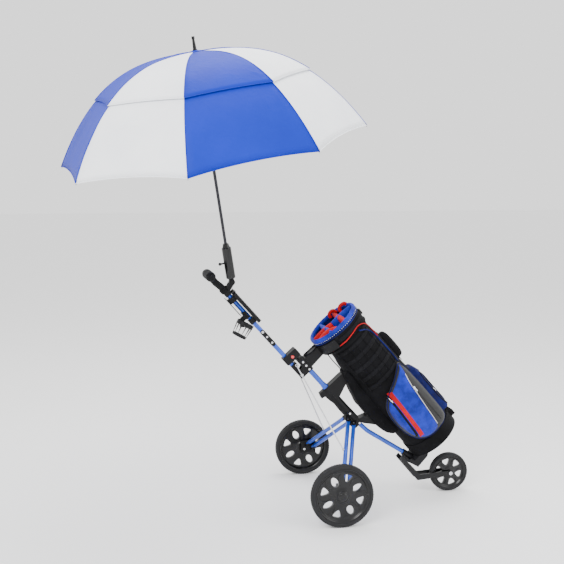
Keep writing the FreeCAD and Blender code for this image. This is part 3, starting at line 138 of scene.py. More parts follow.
def turned_out(piece, merge=1e-6):
    """Merge doubles and point every face outwards."""
    work = bmesh.new()
    work.from_mesh(piece.data)
    bmesh.ops.remove_doubles(work, verts=work.verts, dist=merge)
    bmesh.ops.recalc_face_normals(work, faces=work.faces)
    work.to_mesh(piece.data)
    work.free()
    return piece


def grid_faces(rows, columns, round_rows=False, round_columns=True):
    faces = []
    for i in range(rows if round_rows else rows - 1):
        for j in range(columns if round_columns else columns - 1):
            a, b = i, (i + 1) % rows
            c, d = j, (j + 1) % columns
            faces.append((a * columns + c, a * columns + d, b * columns + d, b * columns + c))
    return faces


def loft(name, rings, materials, closed=False):
    """Skin rings of equal length; open ends are capped with a fan."""
    columns = len(rings[0])
    points = [point for ring in rings for point in ring]
    faces = grid_faces(len(rings), columns, round_rows=closed)
    if not closed:
        for start, ring in ((0, rings[0]), ((len(rings) - 1) * columns, rings[-1])):
            points.append(sum((Vector(p) for p in ring), Vector()) / columns)
            hub = len(points) - 1
            faces += [(start + j, start + (j + 1) % columns, hub) for j in range(columns)]
    return turned_out(new_piece(name, points, faces, materials))


def frames_along(points):
    """Two directions square to a path at each of its points, without twist."""
    tangents = []
    for i in range(len(points)):
        ahead = points[min(i + 1, len(points) - 1)] - points[max(i - 1, 0)]
        tangents.append(ahead.normalized())
    side = tangents[0].orthogonal().normalized()
    found = []
    for tangent in tangents:
        side = (side - tangent * side.dot(tangent)).normalized()
        found.append((side, tangent.cross(side)))
    return found


def rod(name, points, radius, material, around=12, closed=False):
    """A round rod along a path; radius may be a number or one per point."""
    points = [Vector(p) for p in points]
    radii = radius if isinstance(radius, (list, tuple)) else [radius] * len(points)
    sides = frames_along(points + points[:1])[:-1] if closed else frames_along(points)
    rings = [[point + u * (r * math.cos(a)) + v * (r * math.sin(a)) for a in turns(around)]
             for point, r, (u, v) in zip(points, radii, sides)]
    return loft(name, rings, material, closed=closed)


def lathe(name, profile, place, materials, around=96, closed=True):
    """Turn (radius, height) points about an axis; place maps local coordinates to the world."""
    points = [place(r * math.cos(a), r * math.sin(a), h) for a in turns(around) for r, h in profile]
    faces = grid_faces(around, len(profile), round_rows=True, round_columns=closed)
    return turned_out(new_piece(name, points, faces, materials), 1e-5)


def smooth_path(points, steps=8, closed=False):
    """Catmull-Rom curve through given points."""
    points = [Vector(p) for p in points]
    count = len(points)
    found = []
    for i in range(count if closed else count - 1):
        if closed:
            a, b, c, d = (points[(i + k) % count] for k in (-1, 0, 1, 2))
        else:
            a, b = points[max(i - 1, 0)], points[i]
            c, d = points[i + 1], points[min(i + 2, count - 1)]
        for step in range(steps):
            s = step / steps
            found.append(0.5 * (2 * b + (c - a) * s + (2 * a - 5 * b + 4 * c - d) * s * s
                                + (3 * b - a - 3 * c + d) * s ** 3))
    if not closed:
        found.append(points[-1])
    return found


def add_modifier(piece, kind, **settings):
    modifier = piece.modifiers.new(kind.title(), kind)
    for key, value in settings.items():
        setattr(modifier, key, value)
    return modifier


def settled(piece):
    """Replace a piece's mesh with the result of its modifiers."""
    bpy.context.view_layer.update()
    depsgraph = bpy.context.evaluated_depsgraph_get()
    mesh = bpy.data.meshes.new_from_object(piece.evaluated_get(depsgraph))
    piece.modifiers.clear()
    piece.data = mesh
    mesh.name = piece.name
    return piece


def joined(name, pieces):
    """Join pieces of one body into a single object, keeping their materials."""
    with bpy.context.temp_override(active_object=pieces[0], selected_editable_objects=pieces):
        bpy.ops.object.join()
    pieces[0].name = name
    pieces[0].data.name = name
    return pieces[0]


CLOTH_STEPS = 15
CLOTH_QUALITY = 4
CLOTH_TENSION = 30


def inflated(piece, voxel, cap):
    """Swell a padded piece with cloth pressure, holding each point near where it was."""
    add_modifier(piece, "REMESH", mode="VOXEL", voxel_size=voxel, use_smooth_shade=True)
    settled(piece)
    before = np.array([v.co for v in piece.data.vertices])
    cloth = piece.modifiers.new("Cloth", "CLOTH")
    cloth.settings.use_pressure = True
    cloth.settings.uniform_pressure_force = bpy.context.scene.cart_sizes.pressure
    cloth.settings.effector_weights.gravity = 0
    cloth.settings.quality = CLOTH_QUALITY
    cloth.settings.tension_stiffness = CLOTH_TENSION
    scene = bpy.context.scene
    for step in range(1, CLOTH_STEPS + 1):
        scene.frame_set(step)
    settled(piece)
    scene.frame_set(1)
    after = np.array([v.co for v in piece.data.vertices])
    moved = after - before
    length = np.linalg.norm(moved, axis=1, keepdims=True)
    moved *= np.minimum(1, cap / np.maximum(length, 1e-9))
    piece.data.vertices.foreach_set("co", (before + moved).ravel())
    piece.data.update()
    return piece


def riding(piece, body, slot):
    """Ride a piece on a body; the slot argument is not used."""
    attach(piece, body)
    return piece


# ---------------------------------------------------------------- materials
COAT_ROUGHNESS = 0.12
SHEEN_ROUGHNESS = 0.4
MOULDED_SPECULAR = 0.2
CLOTH_SPECULAR = 0.1
WAVE_REPEAT = 2 / 6.2832      # a wave texture's scale times the distance between its bands


def shader_of(material):
    return material.node_tree.nodes["Principled BSDF"]


def finish(name, colour, rough, metallic=0.0, coat=0.0, sheen=0.0, alpha=1.0):
    """A principled material whose constants sit on the shader's own sockets."""
    material = bpy.data.materials.new(name)
    material.use_nodes = True
    shader = shader_of(material)
    shader.inputs["Base Color"].default_value = (*colour, 1)
    shader.inputs["Roughness"].default_value = rough
    shader.inputs["Metallic"].default_value = metallic
    shader.inputs["Coat Weight"].default_value = coat
    shader.inputs["Coat Roughness"].default_value = COAT_ROUGHNESS
    shader.inputs["Sheen Weight"].default_value = sheen
    shader.inputs["Alpha"].default_value = alpha
    return material


def node(material, kind, **inputs):
    made = material.node_tree.nodes.new(kind)
    for key, value in inputs.items():
        socket = made.inputs.get(key.replace("_", " "))
        if socket is not None:
            socket.default_value = value
        else:
            setattr(made, key, value)
    return made


def placed(material, turn=(0, 0, 0), scale=(1, 1, 1)):
    """Object coordinates through a mapping, so patterns are in real metres."""
    links = material.node_tree.links
    place = node(material, "ShaderNodeMapping")
    place.inputs["Rotation"].default_value = turn
    place.inputs["Scale"].default_value = scale
    links.new(node(material, "ShaderNodeTexCoord").outputs["Object"], place.inputs["Vector"])
    return place.outputs["Vector"]


def textured(material, vector, kind, scale, **settings):
    texture = node(material, kind, Scale=scale, **settings)
    material.node_tree.links.new(vector, texture.inputs["Vector"])
    return texture


def varied(material, output, dark, light, low=0.35, high=0.65):
    """Run a texture through a two-stop ramp into the base colour."""
    ramp = node(material, "ShaderNodeValToRGB")
    ramp.color_ramp.elements[0].position = low
    ramp.color_ramp.elements[0].color = (*dark, 1)
    ramp.color_ramp.elements[1].position = high
    ramp.color_ramp.elements[1].color = (*light, 1)
    links = material.node_tree.links
    links.new(output, ramp.inputs["Fac"])
    links.new(ramp.outputs["Color"], shader_of(material).inputs["Base Color"])


def roughened(material, output, low, high):
    """Vary the roughness between two values with a texture."""
    spread = node(material, "ShaderNodeMapRange")
    spread.inputs["To Min"].default_value = low
    spread.inputs["To Max"].default_value = high
    links = material.node_tree.links
    links.new(output, spread.inputs["Value"])
    links.new(spread.outputs["Result"], shader_of(material).inputs["Roughness"])


def bumped(material, outputs, distances, strength=0.6):
    """Chain bump nodes, one for each texture output."""
    links = material.node_tree.links
    last = None
    for output, distance in zip(outputs, distances):
        bump = node(material, "ShaderNodeBump", Strength=strength, Distance=distance)
        links.new(output, bump.inputs["Height"])
        if last is not None:
            links.new(last.outputs["Normal"], bump.inputs["Normal"])
        last = bump
    links.new(last.outputs["Normal"], shader_of(material).inputs["Normal"])


def tinted(colour, factor):
    return tuple(min(1.0, c * factor) for c in colour)


MAST_TURN = (0, -(LEAN - math.pi / 2), 0)


def moulded(name, colour, rough, grain=1800.0, coat=0.0):
    """Moulded plastic: fine grain, faint cloudiness and rubbed patches."""
    material = finish(name, colour, rough, coat=coat)
    shader_of(material).inputs["Specular IOR Level"].default_value = MOULDED_SPECULAR
    where = placed(material)
    cloud = textured(material, where, "ShaderNodeTexNoise", 9.0, Detail=5.0)
    fine = textured(material, where, "ShaderNodeTexNoise", grain, Detail=2.0)
    varied(material, cloud.outputs["Fac"], tinted(colour, 0.75), tinted(colour, 1.7), 0.3, 0.75)
    roughened(material, cloud.outputs["Fac"], rough - 0.1, rough + 0.14)
    bumped(material, [fine.outputs["Fac"]], [0.0002], 0.45)
    return material


def painted(name, colour):
    """Metallic paint with orange peel and slight cloudiness along the tube."""
    material = finish(name, colour, 0.3, metallic=0.3, coat=0.35)
    where = placed(material, MAST_TURN, (1, 1, 0.25))
    cloud = textured(material, where, "ShaderNodeTexNoise", 22.0, Detail=4.0)
    peel = textured(material, placed(material), "ShaderNodeTexNoise", 420.0, Detail=1.0)
    varied(material, cloud.outputs["Fac"], tinted(colour, 0.82), tinted(colour, 1.25))
    roughened(material, cloud.outputs["Fac"], 0.22, 0.38)
    bumped(material, [peel.outputs["Fac"]], [0.00012], 0.3)
    return material


def brushed(name, colour, rough=0.25):
    material = finish(name, colour, rough, metallic=1.0)
    where = placed(material, (0, 0, 0), (30, 30, 900))
    lines = textured(material, where, "ShaderNodeTexNoise", 1.0, Detail=3.0)
    roughened(material, lines.outputs["Fac"], rough - 0.07, rough + 0.15)
    varied(material, lines.outputs["Fac"], tinted(colour, 0.85), tinted(colour, 1.12))
    bumped(material, [lines.outputs["Fac"]], [0.00005], 0.3)
    return material


def woven(name, colour, pitch, rough, sheen, light, mottle=9.0, depth=0.0004):
    """Plain weave in mast coordinates over soft mottling."""
    material = finish(name, colour, rough, sheen=sheen)
    shader = shader_of(material)
    shader.inputs["Sheen Roughness"].default_value = SHEEN_ROUGHNESS
    shader.inputs["Specular IOR Level"].default_value = CLOTH_SPECULAR
    where = placed(material, MAST_TURN)
    across, up = (textured(material, where, "ShaderNodeTexWave", WAVE_REPEAT / pitch, bands_direction=way)
                  for way in ("X", "Z"))
    cloud = textured(material, where, "ShaderNodeTexNoise", mottle, Detail=6.0, Roughness=0.6)
    crease = textured(material, where, "ShaderNodeTexNoise", 26.0, Detail=3.0, Distortion=1.2)
    dark = 0.94 if light < 1.2 else 0.62
    varied(material, cloud.outputs["Fac"], tinted(colour, dark), tinted(colour, light), 0.32, 0.7)
    bumped(material, [across.outputs["Fac"], up.outputs["Fac"], crease.outputs["Fac"]],
           [depth, depth, 0.0025], 0.5)
    return material


def make_materials():
    c = bpy.context.scene.cart_colours
    black = tuple(c.black)
    made = {
        "tube": painted("tube_paint", tuple(c.tube)),
        "moulding": moulded("black_moulding", black, 0.42),
        "casting": moulded("grey_casting", tinted(black, 2.2), 0.5, 900.0),
        "disc": moulded("wheel_gloss", tinted(black, 0.9), 0.26, 2600.0, coat=0.3),
        "grip": moulded("grip_foam", tinted(black, 1.1), 0.72, 700.0),
        "coat": moulded("fork_coat", black, 0.38, 1300.0, coat=0.2),
        "steel": brushed("bright_steel", (0.62, 0.62, 0.64)),
        "dark_steel": brushed("dark_shaft", (0.035, 0.035, 0.04), 0.35),
        "bag_black": woven("black_cloth", black, 0.0026, 0.8, 0.02, 2.4),
        "webbing": woven("black_webbing", tinted(black, 2.0), 0.0016, 0.72, 0.01, 1.8),
        "bag_blue": woven("blue_cloth", tuple(c.bag_blue), 0.002, 0.5, 0.03, 1.7, 16.0),
        "bag_navy": woven("navy_cloth", tinted(tuple(c.bag_blue), 0.14), 0.002, 0.6, 0.03, 3.0, 12.0),
        "bag_red": woven("red_cloth", tuple(c.bag_red), 0.002, 0.6, 0.04, 1.25),
        "lining": woven("lining", (0.02, 0.03, 0.11), 0.002, 0.8, 0.1, 1.4),
        "canopy_blue": woven("canopy_blue", tuple(c.canopy_blue), 0.0012, 0.5, 0.02, 1.15, 3.0, 0.00008),
        "canopy_white": woven("canopy_white", tuple(c.canopy_white), 0.0012, 0.5, 0.02, 1.06, 3.0, 0.00008),
        "red_button": finish("red_button", (0.62, 0.03, 0.03), 0.25, coat=0.5),
        "zip": brushed("zip_bright", (0.78, 0.78, 0.8), 0.2),
    }
    tyre = finish("tyre_foam", tinted(black, 1.8), 0.82)
    where = placed(tyre)
    pores = textured(tyre, where, "ShaderNodeTexVoronoi", 900.0)
    dust = textured(tyre, where, "ShaderNodeTexNoise", 18.0, Detail=6.0)
    varied(tyre, dust.outputs["Fac"], tinted(black, 1.2), tinted(black, 3.2), 0.35, 0.8)
    bumped(tyre, [pores.outputs["Distance"]], [0.0003], 0.4)
    made["tyre"] = tyre
    mesh_net = finish("pocket_net", tinted(black, 1.3), 0.65, sheen=0.02)
    cells = textured(mesh_net, placed(mesh_net, MAST_TURN, (1, 1, 0.6)), "ShaderNodeTexVoronoi", 330.0)
    varied(mesh_net, cells.outputs["Distance"], tinted(black, 5.0), tinted(black, 0.5), 0.12, 0.42)
    bumped(mesh_net, [cells.outputs["Distance"]], [0.0009], 0.8)
    made["net"] = mesh_net
    smoked = finish("smoked_clear", (0.02, 0.022, 0.025), 0.12, coat=0.4, alpha=0.78)
    scuff = textured(smoked, placed(smoked), "ShaderNodeTexNoise", 60.0, Detail=6.0)
    roughened(smoked, scuff.outputs["Fac"], 0.08, 0.3)
    made["smoked"] = smoked
    glow = textured(made["red_button"], placed(made["red_button"]), "ShaderNodeTexNoise", 80.0)
    varied(made["red_button"], glow.outputs["Fac"], (0.5, 0.015, 0.02), (0.72, 0.04, 0.04))
    return made


PAINT = {}

FRAME_FINISHES = {
    "tube": ("main_tube", "handle_tube_lower", "handle_tube_upper", "front_tube", "leg_left_upper",
             "leg_left_lower", "leg_right_upper", "leg_right_lower"),
    "moulding": ("hub_block", "fold_bracket", "upper_saddle", "support_brace", "handle_lug",
                 "clamp_block", "wheel_bracket_left", "wheel_bracket_right", "cup_bracket",
                 "cup_holder", "holder_base", "console_tray", "link_plates", "bag_strap"),
    "casting": ("lower_bracket",),
    "coat": ("front_fork",),
    "steel": ("front_axle", "frame_pins", "rear_axle_left", "rear_axle_right", "fold_rod_left",
              "fold_rod_right", "link_pins", "umbrella_ribs", "umbrella_stretchers"),
    "dark_steel": ("umbrella_shaft",),
    "grip": ("grip",),
    "disc": ("umbrella_ferrule", "umbrella_runner", "holder_body", "holder_screw", "rear_disc_left",
             "rear_disc_right", "front_disc"),
    "smoked": ("console_lid",),
    "red_button": ("fold_button",),
    "zip": ("zip_pull",),
    "bag_black": ("bag_shell", "front_pouch", "back_pad", "grab_handle", "bag_base",
                  "side_pocket_left", "side_pocket_right"),
    "bag_blue": ("bag_rim",),
    "bag_red": ("bag_dividers",),
    "canopy_blue": ("canopy", "vent_canopy"),
    "tyre": ("rear_tyre_left", "rear_tyre_right", "front_tyre"),
}


class CART_OT_frame(bpy.types.Operator):
    """Make the materials and give each frame node its own"""
    bl_idname = "cart.frame"
    bl_label = "Frame finishes"

    def execute(self, context):
        PAINT.update(make_materials())
        for paint, names in FRAME_FINISHES.items():
            for name in names:
                data = NODES[name].data
                data.materials.clear()
                data.materials.append(PAINT[paint])
        return {"FINISHED"}


# ---------------------------------------------------------------- stage
CAMERA_AT = (-1.134887, -4.029215, 1.589722)
CAMERA_YAW = 0.165
CAMERA_PITCH = 0.125
FOCAL_SHARE = 881.48 / 564
CAMERA_SHIFT = 0.0976
SENSOR_WIDTH = 36
SKY_STRENGTH = 1.6
FLOOR_REACH = 30
# name, place, target, size in metres and power in watts
LAMPS = (("key", (-2.6, -3.2, 3.8), (0, 0, 0.7), 2.6, 190),
         ("fill", (3.4, -2.4, 2.2), (0, 0, 0.7), 3.0, 80),
         ("top", (0.2, 0.6, 4.4), (0, 0, 0.8), 2.6, 110))


def area_light(name, place, target, size, power):
    light = bpy.data.lights.new(name, "AREA")
    light.shape = "DISK"
    light.size = size
    light.energy = power
    lamp = bpy.data.objects.new(name, light)
    lamp.location = place
    lamp.rotation_euler = (Vector(target) - Vector(place)).to_track_quat("-Z", "Y").to_euler()
    bpy.context.scene.collection.objects.link(lamp)


class CART_OT_stage(bpy.types.Operator):
    """Floor, soft studio light and camera"""
    bl_idname = "cart.stage"
    bl_label = "Stage"

    def execute(self, context):
        far = FLOOR_REACH
        floor = new_piece("studio_floor", [(-far, -far, 0), (far, -far, 0), (far, far, 0), (-far, far, 0)],
                          [(0, 1, 2, 3)], finish("floor_white", (0.93, 0.93, 0.93), 0.8))
        world = bpy.data.worlds.new("studio")
        world.use_nodes = True
        sky = world.node_tree.nodes["Background"]
        sky.inputs["Color"].default_value = (1, 1, 1, 1)
        sky.inputs["Strength"].default_value = SKY_STRENGTH
        context.scene.world = world
        for lamp in LAMPS:
            area_light(*lamp)
        camera = bpy.data.cameras.new("camera")
        camera.sensor_width = SENSOR_WIDTH
        camera.lens = FOCAL_SHARE * camera.sensor_width
        camera.shift_x = CAMERA_SHIFT
        eye = bpy.data.objects.new("camera", camera)
        eye.location = CAMERA_AT
        ahead = Vector((math.sin(CAMERA_YAW) * math.cos(CAMERA_PITCH),
                        math.cos(CAMERA_YAW) * math.cos(CAMERA_PITCH), -math.sin(CAMERA_PITCH)))
        eye.rotation_euler = ahead.to_track_quat("-Z", "Y").to_euler()
        context.scene.collection.objects.link(eye)
        context.scene.camera = eye
        return {"FINISHED"}


# ---------------------------------------------------------------- repeated details
def node_tree(name, inputs, output, nodes, links):
    """A Geometry Nodes tree from its named nodes and a line for each link."""
    tree = bpy.data.node_groups.new(name, "GeometryNodeTree")
    for label, kind in inputs.items():
        tree.interface.new_socket(label, in_out="INPUT", socket_type="NodeSocket" + kind)
    tree.interface.new_socket(output, in_out="OUTPUT", socket_type="NodeSocketGeometry")
    made = {"given": tree.nodes.new("NodeGroupInput"), "result": tree.nodes.new("NodeGroupOutput")}
    for label, (kind, settings) in nodes.items():
        made[label] = tree.nodes.new(kind)
        for key, value in settings.items():
            if hasattr(made[label], key):
                setattr(made[label], key, value)
            else:
                made[label].inputs[key].default_value = value
    for line in links:
        (source, out), (target, into) = (end.split(".") for end in line.split(" > "))
        into = int(into) if into.isdigit() else into
        tree.links.new(made[source].outputs[out], made[target].inputs[into])
    return tree


THREAD_SIDES = 6
LAY = {"laid": ("GeometryNodeInstanceOnPoints", {}), "real": ("GeometryNodeRealizeInstances", {}),
       "paint": ("GeometryNodeSetMaterial", {})}
LAY_LINKS = ("laid.Instances > real.Geometry", "real.Geometry > paint.Geometry",
             "given.Material > paint.Material")


def stitch_tree():
    """Geometry Nodes: lay short threads or studs at even steps along a path."""
    return node_tree(
        "stitches", {"Path": "Geometry", "Pitch": "Float", "Length": "Float", "Radius": "Float",
                     "Material": "Material"}, "Stitches",
        {"curve": ("GeometryNodeMeshToCurve", {}),
         "spaced": ("GeometryNodeResampleCurve", {"mode": "LENGTH"}),
         "thread": ("GeometryNodeMeshCylinder", {"Vertices": THREAD_SIDES}),
         "tangent": ("GeometryNodeInputTangent", {}),
         "align": ("FunctionNodeAlignRotationToVector", {"axis": "Z"}), **LAY},
        ("given.Path > curve.Mesh", "curve.Curve > spaced.Curve", "given.Pitch > spaced.Length",
         "given.Length > thread.Depth", "given.Radius > thread.Radius",
         "tangent.Tangent > align.Vector", "spaced.Curve > laid.Points",
         "thread.Mesh > laid.Instance", "align.Rotation > laid.Rotation", *LAY_LINKS,
         "paint.Geometry > result.Stitches"))


def spin_tree():
    """Geometry Nodes: repeat a mesh at even turns about an axis through a centre."""
    tree = node_tree(
        "round_the_axis", {"Part": "Geometry", "Count": "Int", "Centre": "Vector", "Axis": "Vector",
                           "Material": "Material"}, "Ring",
        {"points": ("GeometryNodePoints", {}), "index": ("GeometryNodeInputIndex", {}),
         "share": ("ShaderNodeMath", {"operation": "DIVIDE"}),
         "turn": ("ShaderNodeMath", {"operation": "MULTIPLY"}),
         "rotation": ("FunctionNodeAxisAngleToRotation", {}),
         "back": ("ShaderNodeVectorMath", {"operation": "SCALE", "Scale": -1}),
         "moved": ("GeometryNodeTransform", {}), **LAY},
        ("given.Count > points.Count", "given.Centre > points.Position", "index.Index > share.0",
         "given.Count > share.1", "share.Value > turn.0", "given.Axis > rotation.Axis",
         "turn.Value > rotation.Angle", "given.Part > moved.Geometry", "given.Centre > back.0",
         "back.Vector > moved.Translation", "points.Points > laid.Points",
         "moved.Geometry > laid.Instance", "rotation.Rotation > laid.Rotation", *LAY_LINKS,
         "paint.Geometry > result.Ring"))
    for made in tree.nodes:
        if made.bl_idname == "ShaderNodeMath" and made.operation == "MULTIPLY":
            made.inputs[1].default_value = 2 * math.pi
    return tree


def with_tree(piece, tree, **inputs):
    """Run a node tree on a piece and keep the result as a plain mesh."""
    modifier = piece.modifiers.new(tree.name, "NODES")
    modifier.node_group = tree
    sockets = {item.name: item.identifier for item in tree.interface.items_tree
               if item.item_type == "SOCKET" and item.in_out == "INPUT"}
    for key, value in inputs.items():
        modifier[sockets[key]] = value
    return settled(piece)


def stitched(name, points, paint, pitch=None, length=0.0045, radius=0.0006):
    """A row of threads along world points, on the cart's frame."""
    edges = [(i, i + 1) for i in range(len(points) - 1)]
    mesh = bpy.data.meshes.new(name)
    mesh.from_pydata([tuple(p) for p in points], edges, [])
    piece = bpy.data.objects.new(name, mesh)
    bpy.context.scene.collection.objects.link(piece)
    tree = bpy.data.node_groups.get("stitches") or stitch_tree()
    pitch = pitch or bpy.context.scene.cart_sizes.stitch
    with_tree(piece, tree, Pitch=pitch, Length=length, Radius=radius, Material=PAINT[paint])
    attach(piece, "frame")


def repeated(piece, count, centre, axis, paint):
    tree = bpy.data.node_groups.get("round_the_axis") or spin_tree()
    return with_tree(piece, tree, Count=count, Centre=tuple(centre), Axis=tuple(axis),
                     Material=PAINT[paint])


# ---------------------------------------------------------------- wheels
AXLE_HOLE = 0.0062
HUB_SHARE = 0.22
RIM_SHARE = 0.86
WEB_SPREAD = 0.03
REAR_WINDOWS = 8
FRONT_WINDOWS = 6
TREAD_PAIRS = 72


class Wheel:
    """Sizes of one wheel, in metres, read from its frame nodes."""

    def __init__(self, name, disc, tyre, body, outward, windows):
        low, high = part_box(tyre)
        self.name, self.disc, self.tyre, self.body = name, disc, tyre, body
        self.outward, self.windows = outward, windows
        self.centre = (low + high) / 2
        self.radius = (high.z - low.z) / 2
        self.half = (high.y - low.y) / 2

    def place(self, x, z, y):
        """Local: x and z in the wheel's plane, y along the axle, outwards."""
        return self.centre + Vector((x, y * self.outward, z))


WHEELS = (Wheel("rear_left", "rear_disc_left", "rear_tyre_left", "rear_wheel_left", 1, REAR_WINDOWS),
          Wheel("rear_right", "rear_disc_right", "rear_tyre_right", "rear_wheel_right", -1,
                REAR_WINDOWS),
          Wheel("front", "front_disc", "front_tyre", "front_wheel", -1, FRONT_WINDOWS))


def tyre_profile(radius, half):
    """Closed section of a foam tyre with grooves in the tread and the side walls."""
    r, w = radius, half
    side = [(0.862 * r, 0.72 * w), (0.872 * r, 0.90 * w), (0.895 * r, 0.985 * w),
            (0.915 * r, 0.995 * w), (0.922 * r, 0.955 * w), (0.929 * r, 0.995 * w),
            (0.952 * r, 0.97 * w), (0.958 * r, 0.925 * w), (0.965 * r, 0.94 * w),
            (0.980 * r, 0.80 * w), (0.990 * r, 0.58 * w), (0.9945 * r, 0.46 * w),
            (0.984 * r, 0.43 * w), (0.984 * r, 0.37 * w), (0.997 * r, 0.33 * w),
            (0.9995 * r, 0.10 * w), (0.988 * r, 0.07 * w)]
    return side + [(a, -b) for a, b in reversed(side)]


def disc_profile(radius, half, hub):
    """Closed section of the wheel's disc: dished web, rim lips and hub."""
    rim, w = RIM_SHARE * radius, half * 0.84
    outer = [(rim, w), (rim - 0.003, w + 0.0008), (rim - 0.007, w - 0.001),
             (rim - 0.010, w - 0.006), (rim - 0.014, 0.40 * w), (rim * 0.78, 0.46 * w),
             (rim * 0.52, 0.58 * w), (hub + 0.010, 0.70 * w), (hub + 0.003, 0.84 * w), (hub, w)]
    inner = [(hub * 0.85, -w), (hub, -0.8 * w), (hub + 0.006, -0.5 * w), (rim * 0.5, -0.28 * w),
             (rim - 0.014, -0.22 * w), (rim - 0.010, -w + 0.004), (rim - 0.004, -w), (rim, -w)]
    return [(AXLE_HOLE, w)] + outer[::-1] + inner[::-1] + [(AXLE_HOLE, -w)]


def window_outline(kind, near, far, wide):
    """Outline in (radial, across) of one opening in the disc."""
    middle, reach = (near + far) / 2, (far - near) / 2
    points = []
    for a in turns(28):
        u, v = math.cos(a), math.sin(a)
        if kind == "lens":
            points.append((middle + reach * u, wide * 0.62 * v * (1 - 0.12 * u)))
        else:
            u, v = squared(u, 0.62), squared(v, 0.62)
            points.append((middle + reach * u, wide * v * (0.62 + 0.38 * u)))
    return points


def disc(wheel):
    hub = HUB_SHARE * wheel.radius
    rear = wheel.windows == REAR_WINDOWS
    piece = lathe(wheel.name + "_disc", disc_profile(wheel.radius, wheel.half, hub), wheel.place,
                  PAINT["disc"])
    wide = (0.17 if rear else 0.23) * wheel.radius
    cutters = []
    for k in range(wheel.windows):
        kind = "lens" if rear and k % 2 == 0 else "wedge"
        turn = 2 * math.pi * (k + 0.5) / wheel.windows + (0.12 if rear else 0.3)
        near, far = (0.46, 0.70) if rear and kind == "wedge" else (0.36, 0.69)
        outline = window_outline(kind, near * wheel.radius, far * wheel.radius, wide)
        across = Vector((-math.sin(turn), 0, math.cos(turn)))
        out = Vector((math.cos(turn), 0, math.sin(turn)))
        rings = []
        for y in (-WEB_SPREAD, WEB_SPREAD):
            rings.append([wheel.centre + out * a + across * b + Vector((0, y, 0)) for a, b in outline])
        cutters.append(loft("cutter", rings, PAINT["disc"]))
    cutter = joined("cutter", cutters)
    add_modifier(piece, "BOOLEAN", object=cutter, operation="DIFFERENCE", solver="EXACT")
    add_modifier(piece, "BEVEL", width=0.0012, segments=2, limit_method="ANGLE",
                 angle_limit=math.radians(50))
    settled(piece)
    bpy.data.objects.remove(cutter)
    add_modifier(piece, "WEIGHTED_NORMAL", keep_sharp=True)
    return settled(piece)


def spoke_rib(wheel, turn):
    """A raised crescent beside an opening, as pressed into the disc."""
    near, far = 0.30 * wheel.radius, 0.74 * wheel.radius
    points = []
    for k in range(13):
        s = k / 12
        a = turn + 0.20 * math.sin(math.pi * s) ** 0.8
        r = near + (far - near) * s
        level = wheel.half * (0.52 - 0.16 * s)
        points.append(wheel.place(r * math.cos(a), r * math.sin(a), level))
    radii = [0.0008 + 0.0022 * math.sin(math.pi * k / 12) for k in range(13)]
    return rod("rib", points, radii, PAINT["disc"], 8)


def hub_cap(wheel):
    r, w = 0.20 * wheel.radius, wheel.half
    profile = [(0.00001, 1.29 * w), (0.35 * r, 1.28 * w), (0.62 * r, 1.22 * w), (0.66 * r, 1.12 * w),
               (0.72 * r, 1.10 * w), (0.76 * r, 1.12 * w), (0.90 * r, 1.02 * w), (r, 0.90 * w),
               (r, 0.70 * w), (0.00001, 0.70 * w)]
    return lathe("cap", profile, wheel.place, PAINT["disc"], 48, closed=False)


def tread_block(wheel):
    """One pair of slanted tread blocks, repeated round the tyre."""
    pieces = []
    for way in (-1, 1):
        centre = wheel.centre + Vector((way * 0.0015, way * 0.62 * wheel.half, wheel.radius - 0.0022))
        size = Vector((0.0026, 0.115 * wheel.half * 2, 0.0018))
        corners = []
        for sz in (-1, 1):
            for sx, sy in ((-1, -1), (1, -1), (1, 1), (-1, 1)):
                slope = -0.0016 * (0.5 + 0.5 * sy * way)
                corners.append(centre + Vector((size.x * sx + sy * 0.0016, size.y * sy,
                                                size.z * sz + slope)))
        faces = [(0, 3, 2, 1), (4, 5, 6, 7), (0, 1, 5, 4), (1, 2, 6, 5), (2, 3, 7, 6), (3, 0, 4, 7)]
        pieces.append(new_piece("block", corners, faces, PAINT["tyre"], smooth=False))
    return joined("blocks", pieces)


class CART_OT_wheels(bpy.types.Operator):
    """Rear wheels and front wheel: discs with openings, caps and grooved tyres"""
    bl_idname = "cart.wheels"
    bl_label = "Wheels"

    def execute(self, context):
        for wheel in WHEELS:
            tyre = lathe(wheel.name + "_tyre", tyre_profile(wheel.radius, wheel.half), wheel.place,
                         PAINT["tyre"], 128)
            blocks = repeated(tread_block(wheel), TREAD_PAIRS, wheel.centre, (0, 1, 0), "tyre")
            tyre = joined(wheel.name + "_tyre", [tyre, blocks])
            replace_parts(riding(tyre, wheel.body, "tyre_foam"), wheel.tyre)
            body = disc(wheel)
            trims = [hub_cap(wheel)] if wheel.name != "front" else []
            for k in range(wheel.windows):
                trims.append(spoke_rib(wheel, 2 * math.pi * k / wheel.windows + 0.05))
            trim = joined(wheel.name + "_disc_trim", trims)
            for piece in (body, trim):
                riding(piece, wheel.body, "wheel_plastic")
            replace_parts(body, wheel.disc)
        return {"FINISHED"}


# ---------------------------------------------------------------- umbrella
HOLDER_AT = Vector((-442, 0, 1076))
SHAFT_WAY = Vector((-0.178, -0.153, 0.972)).normalized()
SHAFT_FORE = Vector((1, 0, -SHAFT_WAY.x / SHAFT_WAY.z)).normalized()
SHAFT_SIDE = SHAFT_WAY.cross(SHAFT_FORE)
CANOPY_TOP = 1046.0
CANOPY_R = 694.0
CANOPY_DROP = 404.0
CANOPY_CURVE = 2.85
VENT_R = 480.0
VENT_IN = 390.0
VENT_RISE = 9.0
RIBS = 8
RIB_TURN = math.radians(-107.0)
PANEL_STEPS = 14
PANEL_SAG = 5.0
CLOTH_THICK = 0.0009
HEM_RADIUS = 0.0017
SEAM_RADIUS = 0.0016
VENT_HOLE_R = 12.0


def on_shaft(fore, side, height):
    return (HOLDER_AT + SHAFT_FORE * fore + SHAFT_SIDE * side + SHAFT_WAY * height) * MM


